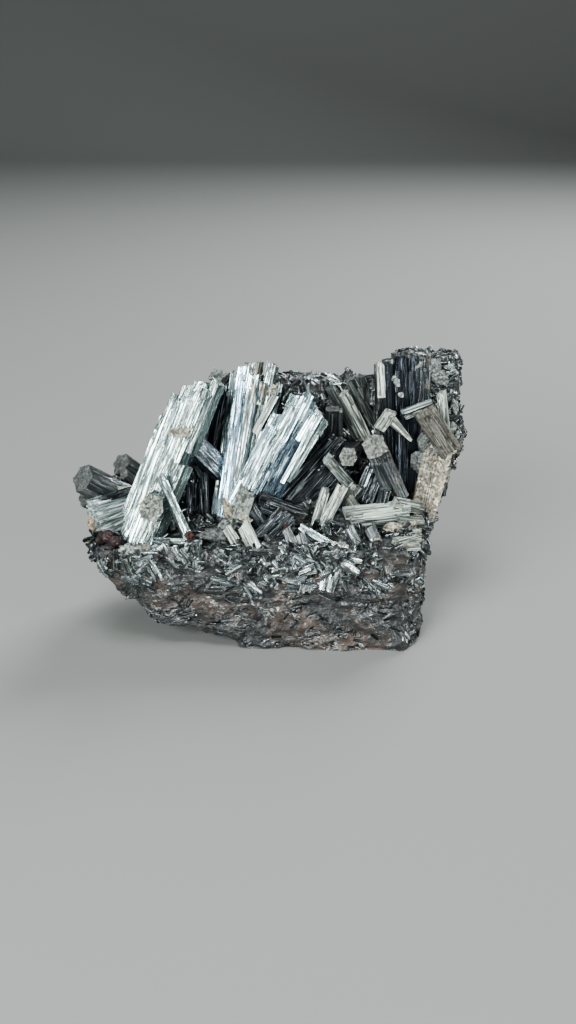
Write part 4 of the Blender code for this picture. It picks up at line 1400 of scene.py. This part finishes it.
@dataclass
class FrontFoot(SubAssembly):
    """The crystals along the front edge, at the feet of the bundles."""

    def growths(self) -> list[Growth]:
        """Lays out its crystals.

        Returns:
            Its growths.
        """
        layered = [
            Crystal((12.0, -8.6, 38.6), (-2.2, -9.2, 44.4), 6.6, 5.4, slope=0.4, tone=0.28, stain=0.3),
            Crystal((0.2, -12.0, 35.0), (-5.2, -8.6, 43.4), 4.6, 4.4, tone=0.34),
        ]
        dark = bundle(
            (-3.6, -18.6, 31.0),
            (7.0, -11.8, 40.4),
            (
                Slat(-3.2, -3.0, 2.8, 4.4, 0.0, 0.95, 0.2, tone=0.5),
                Slat(-0.8, -0.8, 2.8, 5.2, 0.0, 1.02, -0.2, tone=0.35),
                Slat(1.6, 1.6, 2.8, 5.0, 0.0, 1.0, 0.3, tone=0.45),
                Slat(3.9, 3.8, 2.6, 4.4, 0.05, 0.9, -0.2, tone=0.3),
            ),
        )
        shards = [
            pale((-2.4, -24.0, 31.6), (-7.2, -20.0, 41.0), 4.6, 3.2, 1.8, slope=0.5),
            pale((-7.4, -22.6, 31.8), (-12.4, -19.4, 39.6), 3.4, 3.0, 1.6, 0.3),
            pale((-10.8, -11.4, 34.0), (-6.2, -9.4, 47.8), 6.2, 4.2, 1.2, 0.25, slope=-0.6, rough=0.9),
        ]
        shards += [
            pale((49.0, -19.6, 36.4), (40.6, -22.6, 35.6), 2.8, 2.4, 2.0, facing=UPWARDS),
            pale((48.4, -22.0, 34.4), (42.4, -24.6, 35.0), 2.2, 2.0, 1.7, 0.3, facing=UPWARDS),
            pale((46.4, -16.8, 36.2), (48.6, -20.8, 38.6), 2.6, 2.2, 1.8, 0.4, facing=UPWARDS),
        ]
        lumps = [
            Crystal((10.8, -24.6, 30.0), (6.6, -18.2, 38.2), 3.2, 3.0, tone=0.9),
            Crystal((13.0, -22.0, 29.0), (10.4, -18.4, 36.6), 5.0, 4.4, tone=0.6),
            Crystal((30.8, -20.6, 30.6), (26.6, -15.6, 37.6), 3.6, 3.2, tone=0.9),
            Crystal((37.0, -20.0, 31.0), (33.4, -15.0, 37.4), 4.4, 3.8, tone=0.6),
        ]
        slanting = [Crystal((25.2, -23.4, 32.6), (11.3, -16.6, 38.4), 2.5, 1.9)]
        facing = (0, -1, 1)
        needle = Crystal((-20.2, -22.6, 35.2), (-36.0, -23.4, 36.8), 2.0, 2.0, facing, tone=0.8, stain=0.3)
        return [
            Growth("layered_foot_crystals", DARK, layered),
            Growth("dark_foot_bundle", DARK, dark),
            Growth("pale_foot_shards", PALE, shards),
            Growth("front_lump_crystals", ROUGH, lumps),
            Growth("slanting_front_blade", SILVER, slanting),
            Growth("lying_needle", SILVER, [needle]),
        ]


# ---------------------------------------------------------------- the ore


@dataclass(frozen=True)
class Shift:
    """A corner of the ore that is moved, most at its middle and not at all at its reach."""

    middle: Triple
    reach: float
    by: Triple


SHIFTS = (
    Shift((-62.0, -24.0, 35.0), 12.0, (5.5, 1.0, 0.0)),
    Shift((48.0, -25.0, 1.0), 13.0, (4.2, -2.4, 0.0)),
    Shift((26.6, 22.0, 79.5), 6.0, (0.0, 0.0, -2.6)),
)


@dataclass
class OreBlock:
    """The block, wall and column of ore, with its broken surface.

    The relief is a broad swell, coarse ridges, longer by squeeze than they are wide, and fine grit, each of a
    height and a size, and it leaves the lowest part, the underside, flat.
    """

    node: str = "ore_matrix"
    underside: float = 0.3
    voxel: float = 0.66
    squeeze: float = 0.6
    ridge_sharpness: float = 4.0
    sunk: float = 0.15
    swell: float = 0.9
    swell_size: float = 6.0
    coarse: float = 0.34
    coarse_size: float = 3.4
    fine: float = 0.22
    fine_size: float = 1.2

    def build(self, materials: "Materials") -> bpy.types.Object:
        """Makes the ore from a copy of its solid, with an even skin and a broken relief.

        Args:
            materials: the finishes' materials.

        Returns:
            The piece.
        """
        bpy.ops.object.select_all(action="DESELECT")
        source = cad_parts[self.node]
        piece = linked("ore_block", source.data.copy())
        piece.select_set(True)
        bpy.context.view_layer.objects.active = piece
        bpy.ops.object.mode_set(mode="EDIT")
        bpy.ops.mesh.select_all(action="SELECT")
        bpy.ops.mesh.remove_doubles(threshold=1e-7)
        bpy.ops.object.mode_set(mode="OBJECT")
        skin = piece.modifiers.new("even_skin", "REMESH")
        skin.mode = "VOXEL"
        skin.voxel_size = self.voxel * MM
        bpy.ops.object.modifier_apply(modifier=skin.name)
        self._break_up(piece.data)
        piece.data.shade_flat()
        settle(piece, materials, ORE, self.node)
        return piece

    def _break_up(self, mesh: bpy.types.Mesh) -> None:
        """Moves each vertex along its normal by the relief, except on the flat underside.

        Args:
            mesh: the ore's mesh.
        """
        points, normals = read(mesh.vertices, "co"), read(mesh.vertices, "normal")
        heights = np.array([self._relief(Vector(point) / MM) for point in points])
        for shift in SHIFTS:
            near = 1 - np.linalg.norm(points - placed(np.array(shift.middle)), axis=1) / (shift.reach * MM)
            points += np.clip(near, 0, 1)[:, None] * np.array(shift.by) * MM
        heights[points[:, 2] < self.underside * MM] = 0
        points += normals * heights[:, None] * MM
        points[:, 2] = np.maximum(points[:, 2], 0)
        mesh.vertices.foreach_set("co", points.astype(np.float32).ravel())
        mesh.update()

    def _relief(self, point: Vector) -> float:
        """How far the skin stands out.

        Args:
            point: where, in millimetres.

        Returns:
            The height, in millimetres.
        """
        drawn = Vector((point.x * self.squeeze, point.y, point.z))
        swell = noise.noise(drawn / self.swell_size)
        fold = noise.noise(drawn / self.coarse_size + Vector((5, 5, 5)))
        ridges = max(1 - abs(fold) * self.ridge_sharpness, -1)
        nearest, second, *_ = noise.voronoi(point / self.fine_size)[0]
        grit = second - nearest - 0.35
        return self.swell * swell + self.coarse * ridges + self.fine * grit - self.sunk


@dataclass(frozen=True)
class Zone:
    """A stretch of the ore's surface and the small crystals that cover it, in clusters of a few each.

    fan is how far a cluster spreads and lift how far its blades rise, both in radians, heading is where they
    point, sink how deep they sit, proud how far an end may stand off the ore, and patch the size of the thick
    and thin places, if any.
    """

    name: str
    low: Triple
    high: Triple
    clusters: int
    each: int
    length: tuple[float, float]
    width: tuple[float, float]
    fan: float
    lift: tuple[float, float]
    sink: float
    tone: tuple[float, float]
    stain: tuple[float, float] = (0.0, 0.25)
    heading: Optional[Triple] = None
    proud: float = 0.9
    finish: CrystalFinish = GRAINY
    patch: float = 0.0


class SmallCrystals:
    """Sprays of small blades over the ore, each zone one joined mesh.

    A blade may stand past the specimen's box by overhang, stays above its underside by clearance, and has its
    ends less than sunk deep in the ore.
    """

    overhang: float = 0.9
    clearance: float = 0.05
    sunk: float = 2.5
    scatter: float = 0.4
    roll: float = 0.35
    cluster_size: tuple[float, float] = (0.7, 1.3)
    flatness: tuple[float, float] = (0.35, 0.8)

    def __init__(self, ore: bpy.types.Object) -> None:
        """Reads the surface that the blades grow from, and models the blade.

        Args:
            ore: the ore's piece.
        """
        faces = ore.data.polygons
        self.centres = read(faces, "center") / MM + np.array(MIDDLE)
        self.normals = read(faces, "normal")
        self.areas = np.zeros(len(faces), np.float32)
        faces.foreach_get("area", self.areas)
        self.skin = BVHTree.FromObject(ore, bpy.context.evaluated_depsgraph_get())
        self._model_blade()

    def _model_blade(self) -> None:
        """Models one blade, a six-sided prism with a broken tip, and keeps its shape."""
        solid = prism(6, 0.5)
        select(solid, "FACE", lambda face: face.normal.z > 0.5)
        bpy.ops.mesh.inset(thickness=0.12)
        bpy.ops.transform.translate(value=(0.03, 0.02, 0.07))
        bpy.ops.object.mode_set(mode="OBJECT")
        self.blade = shape_of(solid)

    def _laid(self, zone: Zone, faces: np.ndarray, chance: np.random.Generator) -> dict[str, np.ndarray]:
        """Lays out the blades.

        Args:
            zone: where and how.
            faces: the ore's faces that the clusters stand on.
            chance: random numbers.

        Returns:
            Each blade's centre, its three directions, and its length, width and thickness.
        """
        total = zone.clusters * zone.each
        middle, normal = (np.repeat(each[faces], zone.each, axis=0) for each in (self.centres, self.normals))
        heading = chance.normal(0, 1, (zone.clusters, 3))
        if zone.heading is not None:
            heading = np.array(zone.heading) + heading * self.scatter
        heading = np.repeat(heading, zone.each, axis=0)
        heading = unit(heading - normal * np.sum(heading * normal, axis=1, keepdims=True))
        beside = np.cross(normal, heading)
        turn = chance.uniform(-zone.fan, zone.fan, total)[:, None]
        aimed = heading * np.cos(turn) + beside * np.sin(turn)
        rise = chance.uniform(*zone.lift, total)[:, None]
        along = aimed * np.cos(rise) + normal * np.sin(rise)
        size = np.repeat(chance.uniform(*self.cluster_size, zone.clusters), zone.each)
        length = chance.uniform(*zone.length, total) * size
        width = chance.uniform(*zone.width, total) * size
        thick = width * chance.uniform(*self.flatness, total)
        across = unit(np.cross(along, normal))
        third = np.cross(across, along)
        roll = chance.normal(0, self.roll, total)[:, None]
        across, third = (
            across * np.cos(roll) + third * np.sin(roll), third * np.cos(roll) - across * np.sin(roll)
        )
        slide = chance.uniform(-1, 1, total) * width * 1.2 + turn[:, 0] * length * 0.4
        centre = middle + beside * slide[:, None] + along * (length * 0.3)[:, None]
        centre += normal * (chance.uniform(-0.5, 0.1, total) * zone.sink * thick)[:, None]
        return {
            "centre": centre, "across": across, "third": third, "along": along,
            "length": length, "width": width, "thick": thick,
        }

    def grow(self, zone: Zone, seed: int) -> bpy.types.Object:
        """Grows one zone's blades.

        Args:
            zone: where and how.
            seed: starts its random numbers.

        Returns:
            The joined mesh.
        """
        chance = np.random.default_rng(seed)
        spots = np.flatnonzero(np.all((self.centres > zone.low) & (self.centres < zone.high), axis=1))
        weights = self.areas[spots].astype(float)
        if zone.patch:
            shift = Vector((9, seed, 0))
            crowd = [noise.noise(Vector(spot) / zone.patch + shift) for spot in self.centres[spots]]
            weights *= np.clip(np.array(crowd) * 3 + 0.6, 0.03, 1.5)
        laid = self._laid(zone, chance.choice(spots, zone.clusters, p=weights / weights.sum()), chance)
        points = laid["centre"][:, None, :]
        pairs = (("across", "width"), ("third", "thick"), ("along", "length"))
        for (way, size), corner in zip(pairs, self.blade.points.T):
            points = points + laid[way][:, None, :] * (corner * laid[size][:, None])[..., None]
        keep = self._fits(points, laid, zone.proud)
        points, width, length = points[keep], laid["width"][keep], laid["length"][keep]
        total, faces = len(points), len(self.blade.starts)
        piece = mesh_from(zone.name, placed(points.reshape(-1, 3)), *self.blade.repeated(total))
        piece.data.shade_flat()
        corners = self.blade.points[self.blade.loops]
        around = np.arctan2(corners[:, 1], corners[:, 0]) * width[:, None] / 2
        rise = corners[:, 2] * length[:, None]
        uv = np.stack((around, rise), axis=2) * MM + chance.random((total, 1, 2))
        low, high = zone.tone
        marks = {
            TONE: low + (high - low) * chance.random(total) ** 2,
            STAIN: chance.uniform(*zone.stain, total),
            COOL: chance.uniform(0, 0.7, total),
            BROKEN: np.zeros(total),
        }
        mark(piece.data, uv, {name: np.repeat(values, faces) for name, values in marks.items()})
        return piece

    def _fits(self, points: np.ndarray, laid: dict[str, np.ndarray], proud: float) -> np.ndarray:
        """Finds the blades that stay in the specimen's box and whose ends lie on or in the ore.

        Args:
            points: each blade's vertices.
            laid: how the blades are laid.
            proud: how far an end may stand off the ore, in millimetres.

        Returns:
            Whether each blade is kept.
        """
        low, high = (np.array(corner) / MM + MIDDLE for corner in CAD_BOX)
        within = (points > low - self.overhang) & (points < high + self.overhang)
        inside = within.all(axis=(1, 2)) & (points[:, :, 2].min(axis=1) > self.clearance)
        ends = np.ones(len(points), bool)
        for sign in (-0.5, 0.5):
            tips = placed(laid["centre"] + laid["along"] * (laid["length"] * sign)[:, None])
            for index in np.flatnonzero(inside & ends):
                spot, normal, _, gap = self.skin.find_nearest(Vector(tips[index]))
                buried = (Vector(tips[index]) - spot).dot(normal) < 0 and gap < self.sunk * MM
                ends[index] = gap < proud * MM or buried
        return inside & ends


def unit(vectors: np.ndarray) -> np.ndarray:
    """The vectors brought to unit length."""
    return vectors / (np.linalg.norm(vectors, axis=1, keepdims=True) + 1e-9)


ZONES = (
    Zone(
        "front_face_blades", (-62, -40, 0), (58, -20, 27), 240, 7, (1.4, 4.6), (0.3, 0.8), 0.35,
        (-0.08, 0.02), 1.6, (0.05, 0.8), (0.0, 0.5), (1, 0, 0.1), 0.3, patch=8.0,
    ),
    Zone(
        "front_edge_crystals", (-64, -40, 24), (58, -19, 39), 400, 4, (1.2, 3.4), (0.5, 1.4), 0.6,
        (-0.15, 0.3), 1.0, (0.1, 1.25), proud=1.2, patch=5.0,
    ),
    Zone(
        "front_edge_sprays", (-62, -40, 22), (58, -19, 39), 150, 6, (3.0, 6.4), (0.7, 1.9), 0.3, (-0.1, 0.25),
        0.8, (0.4, 1.6), proud=1.8, patch=7.0,
    ),
    Zone(
        "seat_crystals", (-62, -19, 30), (58, 14, 46), 360, 5, (2.0, 5.0), (0.7, 1.9), 0.6, (-0.05, 0.5),
        0.8, (0.1, 1.1), proud=2.5,
    ),
    Zone(
        "wall_sprays", (-60, 10, 40), (42, 40, 78.6), 520, 8, (2.4, 6.0), (0.4, 1.2), 0.3, (-0.08, 0.1),
        0.8, (0.2, 2.1), (0.0, 0.1), (-0.25, 0, 1), 0.7,
    ),
    Zone(
        "column_grains", (38, -2, 36), (72, 40, 92), 800, 4, (1.0, 2.8), (0.7, 1.7), 0.9, (-0.1, 0.3),
        0.9, (0.3, 1.2), (0.0, 0.3),
    ),
    Zone(
        "pale_flank_grains", (48, -8, 34), (68, 14, 60), 150, 5, (1.6, 4.4), (0.6, 1.5), 0.4, (-0.08, 0.15),
        0.9, (0.6, 1.3), (0.2, 0.8), (0.3, 0, 1), 1.2, PALE_GRAIN,
    ),
    Zone(
        "right_flank_grains", (44, -30, 0), (62, 40, 38), 330, 6, (1.4, 3.6), (0.5, 1.2), 0.5, (-0.08, 0.1),
        0.9, (0.2, 1.9), (0.0, 0.5), proud=0.7,
    ),
    Zone(
        "back_face_blades", (-66, 8, 2), (68, 44, 80), 800, 7, (1.8, 5.0), (0.4, 1.3), 0.4, (-0.08, 0.06),
        0.9, (0.05, 0.9), (0.0, 0.4), proud=0.7,
    ),
)


# ---------------------------------------------------------------- lumps


@dataclass(frozen=True)
class Lump:
    """A broken or rounded lump, in layout millimetres; a nodule has no facets."""

    place: Triple
    reach: Triple
    tone: float = 0.9
    stain: float = 0.0
    facets: int = 18
    bumps: float = 0.18


@dataclass(frozen=True)
class LumpGroup:
    """Lumps of one finish, gathered in one mesh.

    grain is the size of the grains on a faceted lump, cuts how far out its facets lie, and farthest how far
    out its corners reach, both as shares of its reach.
    """

    name: str
    finish: CrystalFinish
    lumps: tuple[Lump, ...]
    grain: float = 0.9
    cuts: tuple[float, float] = (0.62, 0.95)
    farthest: float = 1.15

    def build(self, materials: "Materials", seed: int) -> None:
        """Shapes each lump from a copy of one ball, and joins and dresses them.

        Args:
            materials: the finishes' materials.
            seed: starts the random numbers.
        """
        bpy.ops.object.select_all(action="DESELECT")
        bpy.ops.mesh.primitive_ico_sphere_add(subdivisions=4, radius=1)
        ball = shape_of(bpy.context.object)
        rays = unit(ball.points)
        chance = np.random.default_rng(seed)
        points = placed(np.concatenate([self._shape(lump, rays, chance) for lump in self.lumps]))
        loops, starts = ball.repeated(len(self.lumps))
        piece = mesh_from(self.name, points, loops, starts)
        looks = np.array([(lump.tone, lump.stain, 0.0, 1.0) for lump in self.lumps])
        marks = dict(zip((TONE, STAIN, COOL, BROKEN), np.repeat(looks, len(ball.starts), axis=0).T))
        mark(piece.data, points[loops][:, [0, 2]], marks)
        piece.data.shade_flat()
        settle(piece, materials, self.finish)

    def _shape(self, lump: Lump, rays: np.ndarray, chance: np.random.Generator) -> np.ndarray:
        """Shapes one lump.

        Args:
            lump: its size and place.
            rays: the ball's vertices, as directions.
            chance: random numbers.

        Returns:
            Its vertices, in layout millimetres.
        """
        shift = chance.uniform(0, 90, 3)
        reach = np.full(len(rays), 1.0)
        if lump.facets:
            planes = unit(chance.normal(0, 1, (lump.facets, 3)))
            towards = rays @ planes.T
            cuts = chance.uniform(*self.cuts, lump.facets) / np.maximum(towards, 1e-3)
            reach = np.minimum(np.min(cuts, axis=1), self.farthest)
        sizes = np.array(lump.reach)
        for index, ray in enumerate(rays):
            spot = Vector(ray * sizes + shift)
            reach[index] += lump.bumps * noise.noise(spot * 0.6)
            if lump.facets:
                near = noise.voronoi(spot / self.grain)[0]
                grain = noise.cell(spot / self.grain + Vector((0.5, 0.5, 0.5))) - 0.4 * near[0]
                reach[index] += 0.3 * self.grain * grain / sizes.mean()
        return np.array(lump.place) + rays * reach[:, None] * sizes


LUMP_GROUPS = (
    LumpGroup("granular_lumps", ROUGH, (
        Lump((45.4, 13.8, 85.2), (3.4, 2.6, 1.5), 0.7, 0.1),
        Lump((49.6, 13.2, 84.6), (3.4, 2.4, 2.2), 0.8, 0.3),
        Lump((53.4, 13.6, 83.6), (3.4, 2.4, 2.8), 0.7, 0.1),
        Lump((40.8, 13.4, 84.4), (2.6, 2.2, 1.6), 0.8),
        Lump((51.6, 12.2, 80.4), (1.6, 1.2, 3.2), 1.2, 0.2),
        Lump((57.4, 13.0, 79.4), (3.2, 2.0, 3.0), 0.7),
        Lump((51.8, 4.6, 59.6), (2.4, 1.8, 4.0), 0.55),
        Lump((50.2, 4.8, 53.8), (2.2, 1.6, 4.0), 0.5),
        Lump((55.8, 3.4, 57.4), (2.6, 1.0, 1.2), 0.6, 0.2),
        Lump((43.0, 9.2, 78.6), (1.3, 0.9, 1.6), 1.2),
        Lump((43.8, 8.8, 75.0), (1.5, 1.0, 1.2), 1.3),
        Lump((41.6, 9.6, 80.4), (0.9, 0.7, 0.9), 1.1),
        Lump((62.8, 11.4, 58.2), (2.0, 2.2, 3.6), 1.5),
        Lump((61.6, 12.4, 62.8), (1.8, 2.0, 2.4), 1.3),
        Lump((62.6, 12.6, 70.0), (1.4, 2.2, 3.0), 1.0),
        Lump((-43.6, -25.4, 34.2), (4.0, 2.0, 2.6), 1.4),
        Lump((-38.2, -25.4, 34.8), (2.6, 1.8, 2.0), 0.9, 0.4),
        Lump((-5.0, 10.2, 83.4), (2.8, 2.2, 2.2), 0.9, 0.2),
        Lump((-9.2, 10.2, 80.6), (2.0, 1.8, 2.0), 1.0, 0.1),
        Lump((-15.8, 14.0, 79.8), (2.8, 2.2, 2.2), 0.6),
        Lump((-17.6, -19.2, 36.6), (5.2, 3.4, 2.2), 0.45),
        Lump((-13.0, -15.6, 38.6), (2.6, 2.2, 3.2), 0.8, 0.1),
    )),
    LumpGroup("buff_lumps", BUFF, (
        Lump((-12.6, -11.8, 42.6), (1.7, 1.2, 4.2), 0.9, 0.3),
        Lump((-7.0, -12.6, 39.6), (2.6, 1.4, 1.8), 1.1, 0.1),
        Lump((-28.4, -13.2, 69.4), (2.2, 1.0, 1.6), 1.0, 0.0),
        Lump((-25.6, -12.9, 68.8), (2.6, 1.3, 2.6), 1.0, 0.0),
        Lump((-23.0, -12.2, 69.8), (1.8, 1.0, 1.4), 1.0, 0.0),
        Lump((-54.4, -21.2, 42.2), (2.0, 1.6, 2.4), 0.9, 0.7),
        Lump((1.0, 8.6, 76.4), (2.2, 1.3, 2.6), 1.1, 0.1),
        Lump((40.6, -14.4, 37.4), (4.4, 2.0, 1.4), 1.1, 0.2),
        Lump((46.6, -11.2, 37.2), (3.2, 2.2, 1.6), 1.0, 0.3),
        Lump((35.0, -19.0, 34.0), (2.6, 1.8, 1.6), 1.0, 0.2),
        Lump((57.6, 6.2, 50.0), (2.8, 1.6, 4.6), 1.2, 0.3),
        Lump((55.4, 5.2, 43.8), (3.0, 1.6, 4.4), 1.2, 0.2),
    ), grain=0.5),
    LumpGroup("rust_nodules", RUST, (
        Lump((-50.4, -23.6, 38.4), (2.6, 1.8, 2.2), 0.9, 0.0, 0, 0.12),
        Lump((-47.6, -24.2, 36.8), (2.2, 1.6, 1.9), 0.9, 0.0, 0, 0.12),
        Lump((-52.4, -22.4, 36.4), (1.6, 1.4, 1.6), 0.9, 0.0, 0, 0.12),
        Lump((-24.3, -23.4, 38.2), (1.3, 1.0, 2.0), 0.7, 0.5, 7, 0.1),
        Lump((-22.6, 3.0, 66.6), (2.6, 1.2, 1.0), 0.6, 0.3, 10, 0.1),
        Lump((6.2, -16.6, 36.8), (1.5, 1.0, 2.4), 0.8, 0.3, 10, 0.1),
    )),
)


# ---------------------------------------------------------------- dressing and staging


class Materials:
    """Makes each finish's material once."""

    def __init__(self) -> None:
        """Starts with none made."""
        self.made: dict[str, bpy.types.Material] = {}

    def of(self, finish: Finish) -> bpy.types.Material:
        """The material of a finish."""
        if finish.name not in self.made:
            self.made[finish.name] = finish.material()
        return self.made[finish.name]


def settle(piece: bpy.types.Object, materials: Materials, finish: Finish, node: Optional[str] = None) -> None:
    """Dresses a piece, ties it to the frame and reports it.

    Args:
        piece: the piece.
        materials: the finishes' materials.
        finish: its finish; its slot is read but not given to the piece.
        node: the node that it stands for, if any.
    """
    material, slot = materials.of(finish), finish.slot
    piece.data.materials.clear()
    piece.data.materials.append(material)
    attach(piece, BODY)
    if node:
        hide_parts(node)
    LOG.info("%s: %d faces", piece.name, len(piece.data.polygons))


@dataclass(frozen=True)
class Lamp:
    """A soft square light: where it stands and its side, in metres, and its power, in watts."""

    name: str
    place: Triple
    size: float
    power: float


LAMPS = (
    Lamp("key_light", (-0.5, -0.85, 0.44), 0.55, 15.0),
    Lamp("fill_light", (0.45, -1.0, 0.32), 0.5, 2.6),
    Lamp("top_light", (-0.15, -0.3, 1.2), 0.5, 8.0),
    Lamp("side_light", (0.95, -0.42, 0.17), 0.3, 5.0),
    Lamp("back_light", (0.5, 0.75, 0.85), 0.6, 15.0),
)


@dataclass
class Studio:
    """The floor, the lamps and the camera, which looks at target from distance, both in millimetres."""

    target: Triple = (7.0, 0.0, 37.0)
    elevation: float = 22.0
    distance: float = 400.0
    lens: float = 42.19
    floor_size: float = 3.0
    curve: float = 0.6
    backdrop: float = 1.5
    floor_colour: Colour = (0.235, 0.25, 0.24)
    middle_height: float = 0.04
    air: tuple[float, ...] = (0.80, 0.84, 0.86, 1)
    air_strength: float = 0.11

    def build(self) -> None:
        """Sets the stage."""
        self._floor()
        self._camera()
        for lamp in LAMPS:
            self._light(lamp)
        world = bpy.data.worlds.new("studio_air")
        world.use_nodes = True
        colour, strength = world.node_tree.nodes["Background"].inputs[:2]
        colour.default_value, strength.default_value = self.air, self.air_strength
        bpy.context.scene.world = world
        bpy.context.scene.view_settings.view_transform = "AgX"
        bpy.context.scene.view_settings.look = "AgX - Medium High Contrast"

    def _floor(self) -> None:
        """Makes a floor that curves up into a backdrop behind the specimen."""
        bpy.ops.object.select_all(action="DESELECT")
        half = self.floor_size / 2
        bpy.ops.mesh.primitive_plane_add(size=self.floor_size, location=(0, 0, 0))
        floor = bpy.context.object
        floor.name = "studio_floor"
        corners = floor.data.vertices
        select(floor, "EDGE", lambda edge: all(corners[end].co.y > half - 0.01 for end in edge.vertices))
        bpy.ops.mesh.spin(steps=16, angle=-math.pi / 2, center=(0, half, self.curve), axis=(1, 0, 0))
        bpy.ops.mesh.extrude_region_move(TRANSFORM_OT_translate={"value": (0, 0, self.backdrop)})
        bpy.ops.object.mode_set(mode="OBJECT")
        floor.data.shade_smooth()
        tree = Tree("studio_floor_paint")
        lighter = tuple(part * 1.04 for part in self.floor_colour)
        colour = tree.mix(tree.noise(tree.place(), 3.0, 2.0), self.floor_colour, lighter)
        tree.feed(tree.shader.inputs["Base Color"], colour)
        tree.shader.inputs["Roughness"].default_value = 0.85
        floor.data.materials.append(tree.material)

    def _camera(self) -> None:
        """Places the camera in front and a little above."""
        data = bpy.data.cameras.new("camera")
        data.lens, data.sensor_width = self.lens, 36
        data.clip_start, data.clip_end = 0.01, 20
        camera = linked("camera", data)
        target = Vector(placed(np.array(self.target)))
        tilt = math.radians(self.elevation)
        away = Vector((0, -math.cos(tilt), math.sin(tilt)))
        camera.location = target + away * self.distance * MM
        camera.rotation_euler = (-away).to_track_quat("-Z", "Y").to_euler()
        bpy.context.scene.camera = camera

    def _light(self, lamp: Lamp) -> None:
        """Adds a light that looks at the middle of the specimen.

        Args:
            lamp: the light.
        """
        data = bpy.data.lights.new(lamp.name, "AREA")
        data.shape, data.size, data.energy = "SQUARE", lamp.size, lamp.power
        light = linked(lamp.name, data)
        light.location = lamp.place
        aim = Vector((0, 0, self.middle_height)) - Vector(lamp.place)
        light.rotation_euler = aim.to_track_quat("-Z", "Y").to_euler()


FIRST_ZONE_SEED, FIRST_LUMP_SEED = 40, 80


def main() -> None:
    """Builds the specimen and its stage."""
    logging.basicConfig(level=logging.INFO, format="%(name)s %(message)s")
    materials, kit = Materials(), Kit()
    for index, kind in enumerate((LeftSlab, LeftEnd, CentreBundles, Hollow, Tower, FrontFoot)):
        kind(seed=index + 1).build(kit, materials)
    ore = OreBlock().build(materials)
    small = SmallCrystals(ore)
    for index, zone in enumerate(ZONES):
        settle(small.grow(zone, FIRST_ZONE_SEED + index), materials, zone.finish)
    for index, group in enumerate(LUMP_GROUPS):
        group.build(materials, FIRST_LUMP_SEED + index)
    Studio().build()


if __name__ == "__main__":
    main()
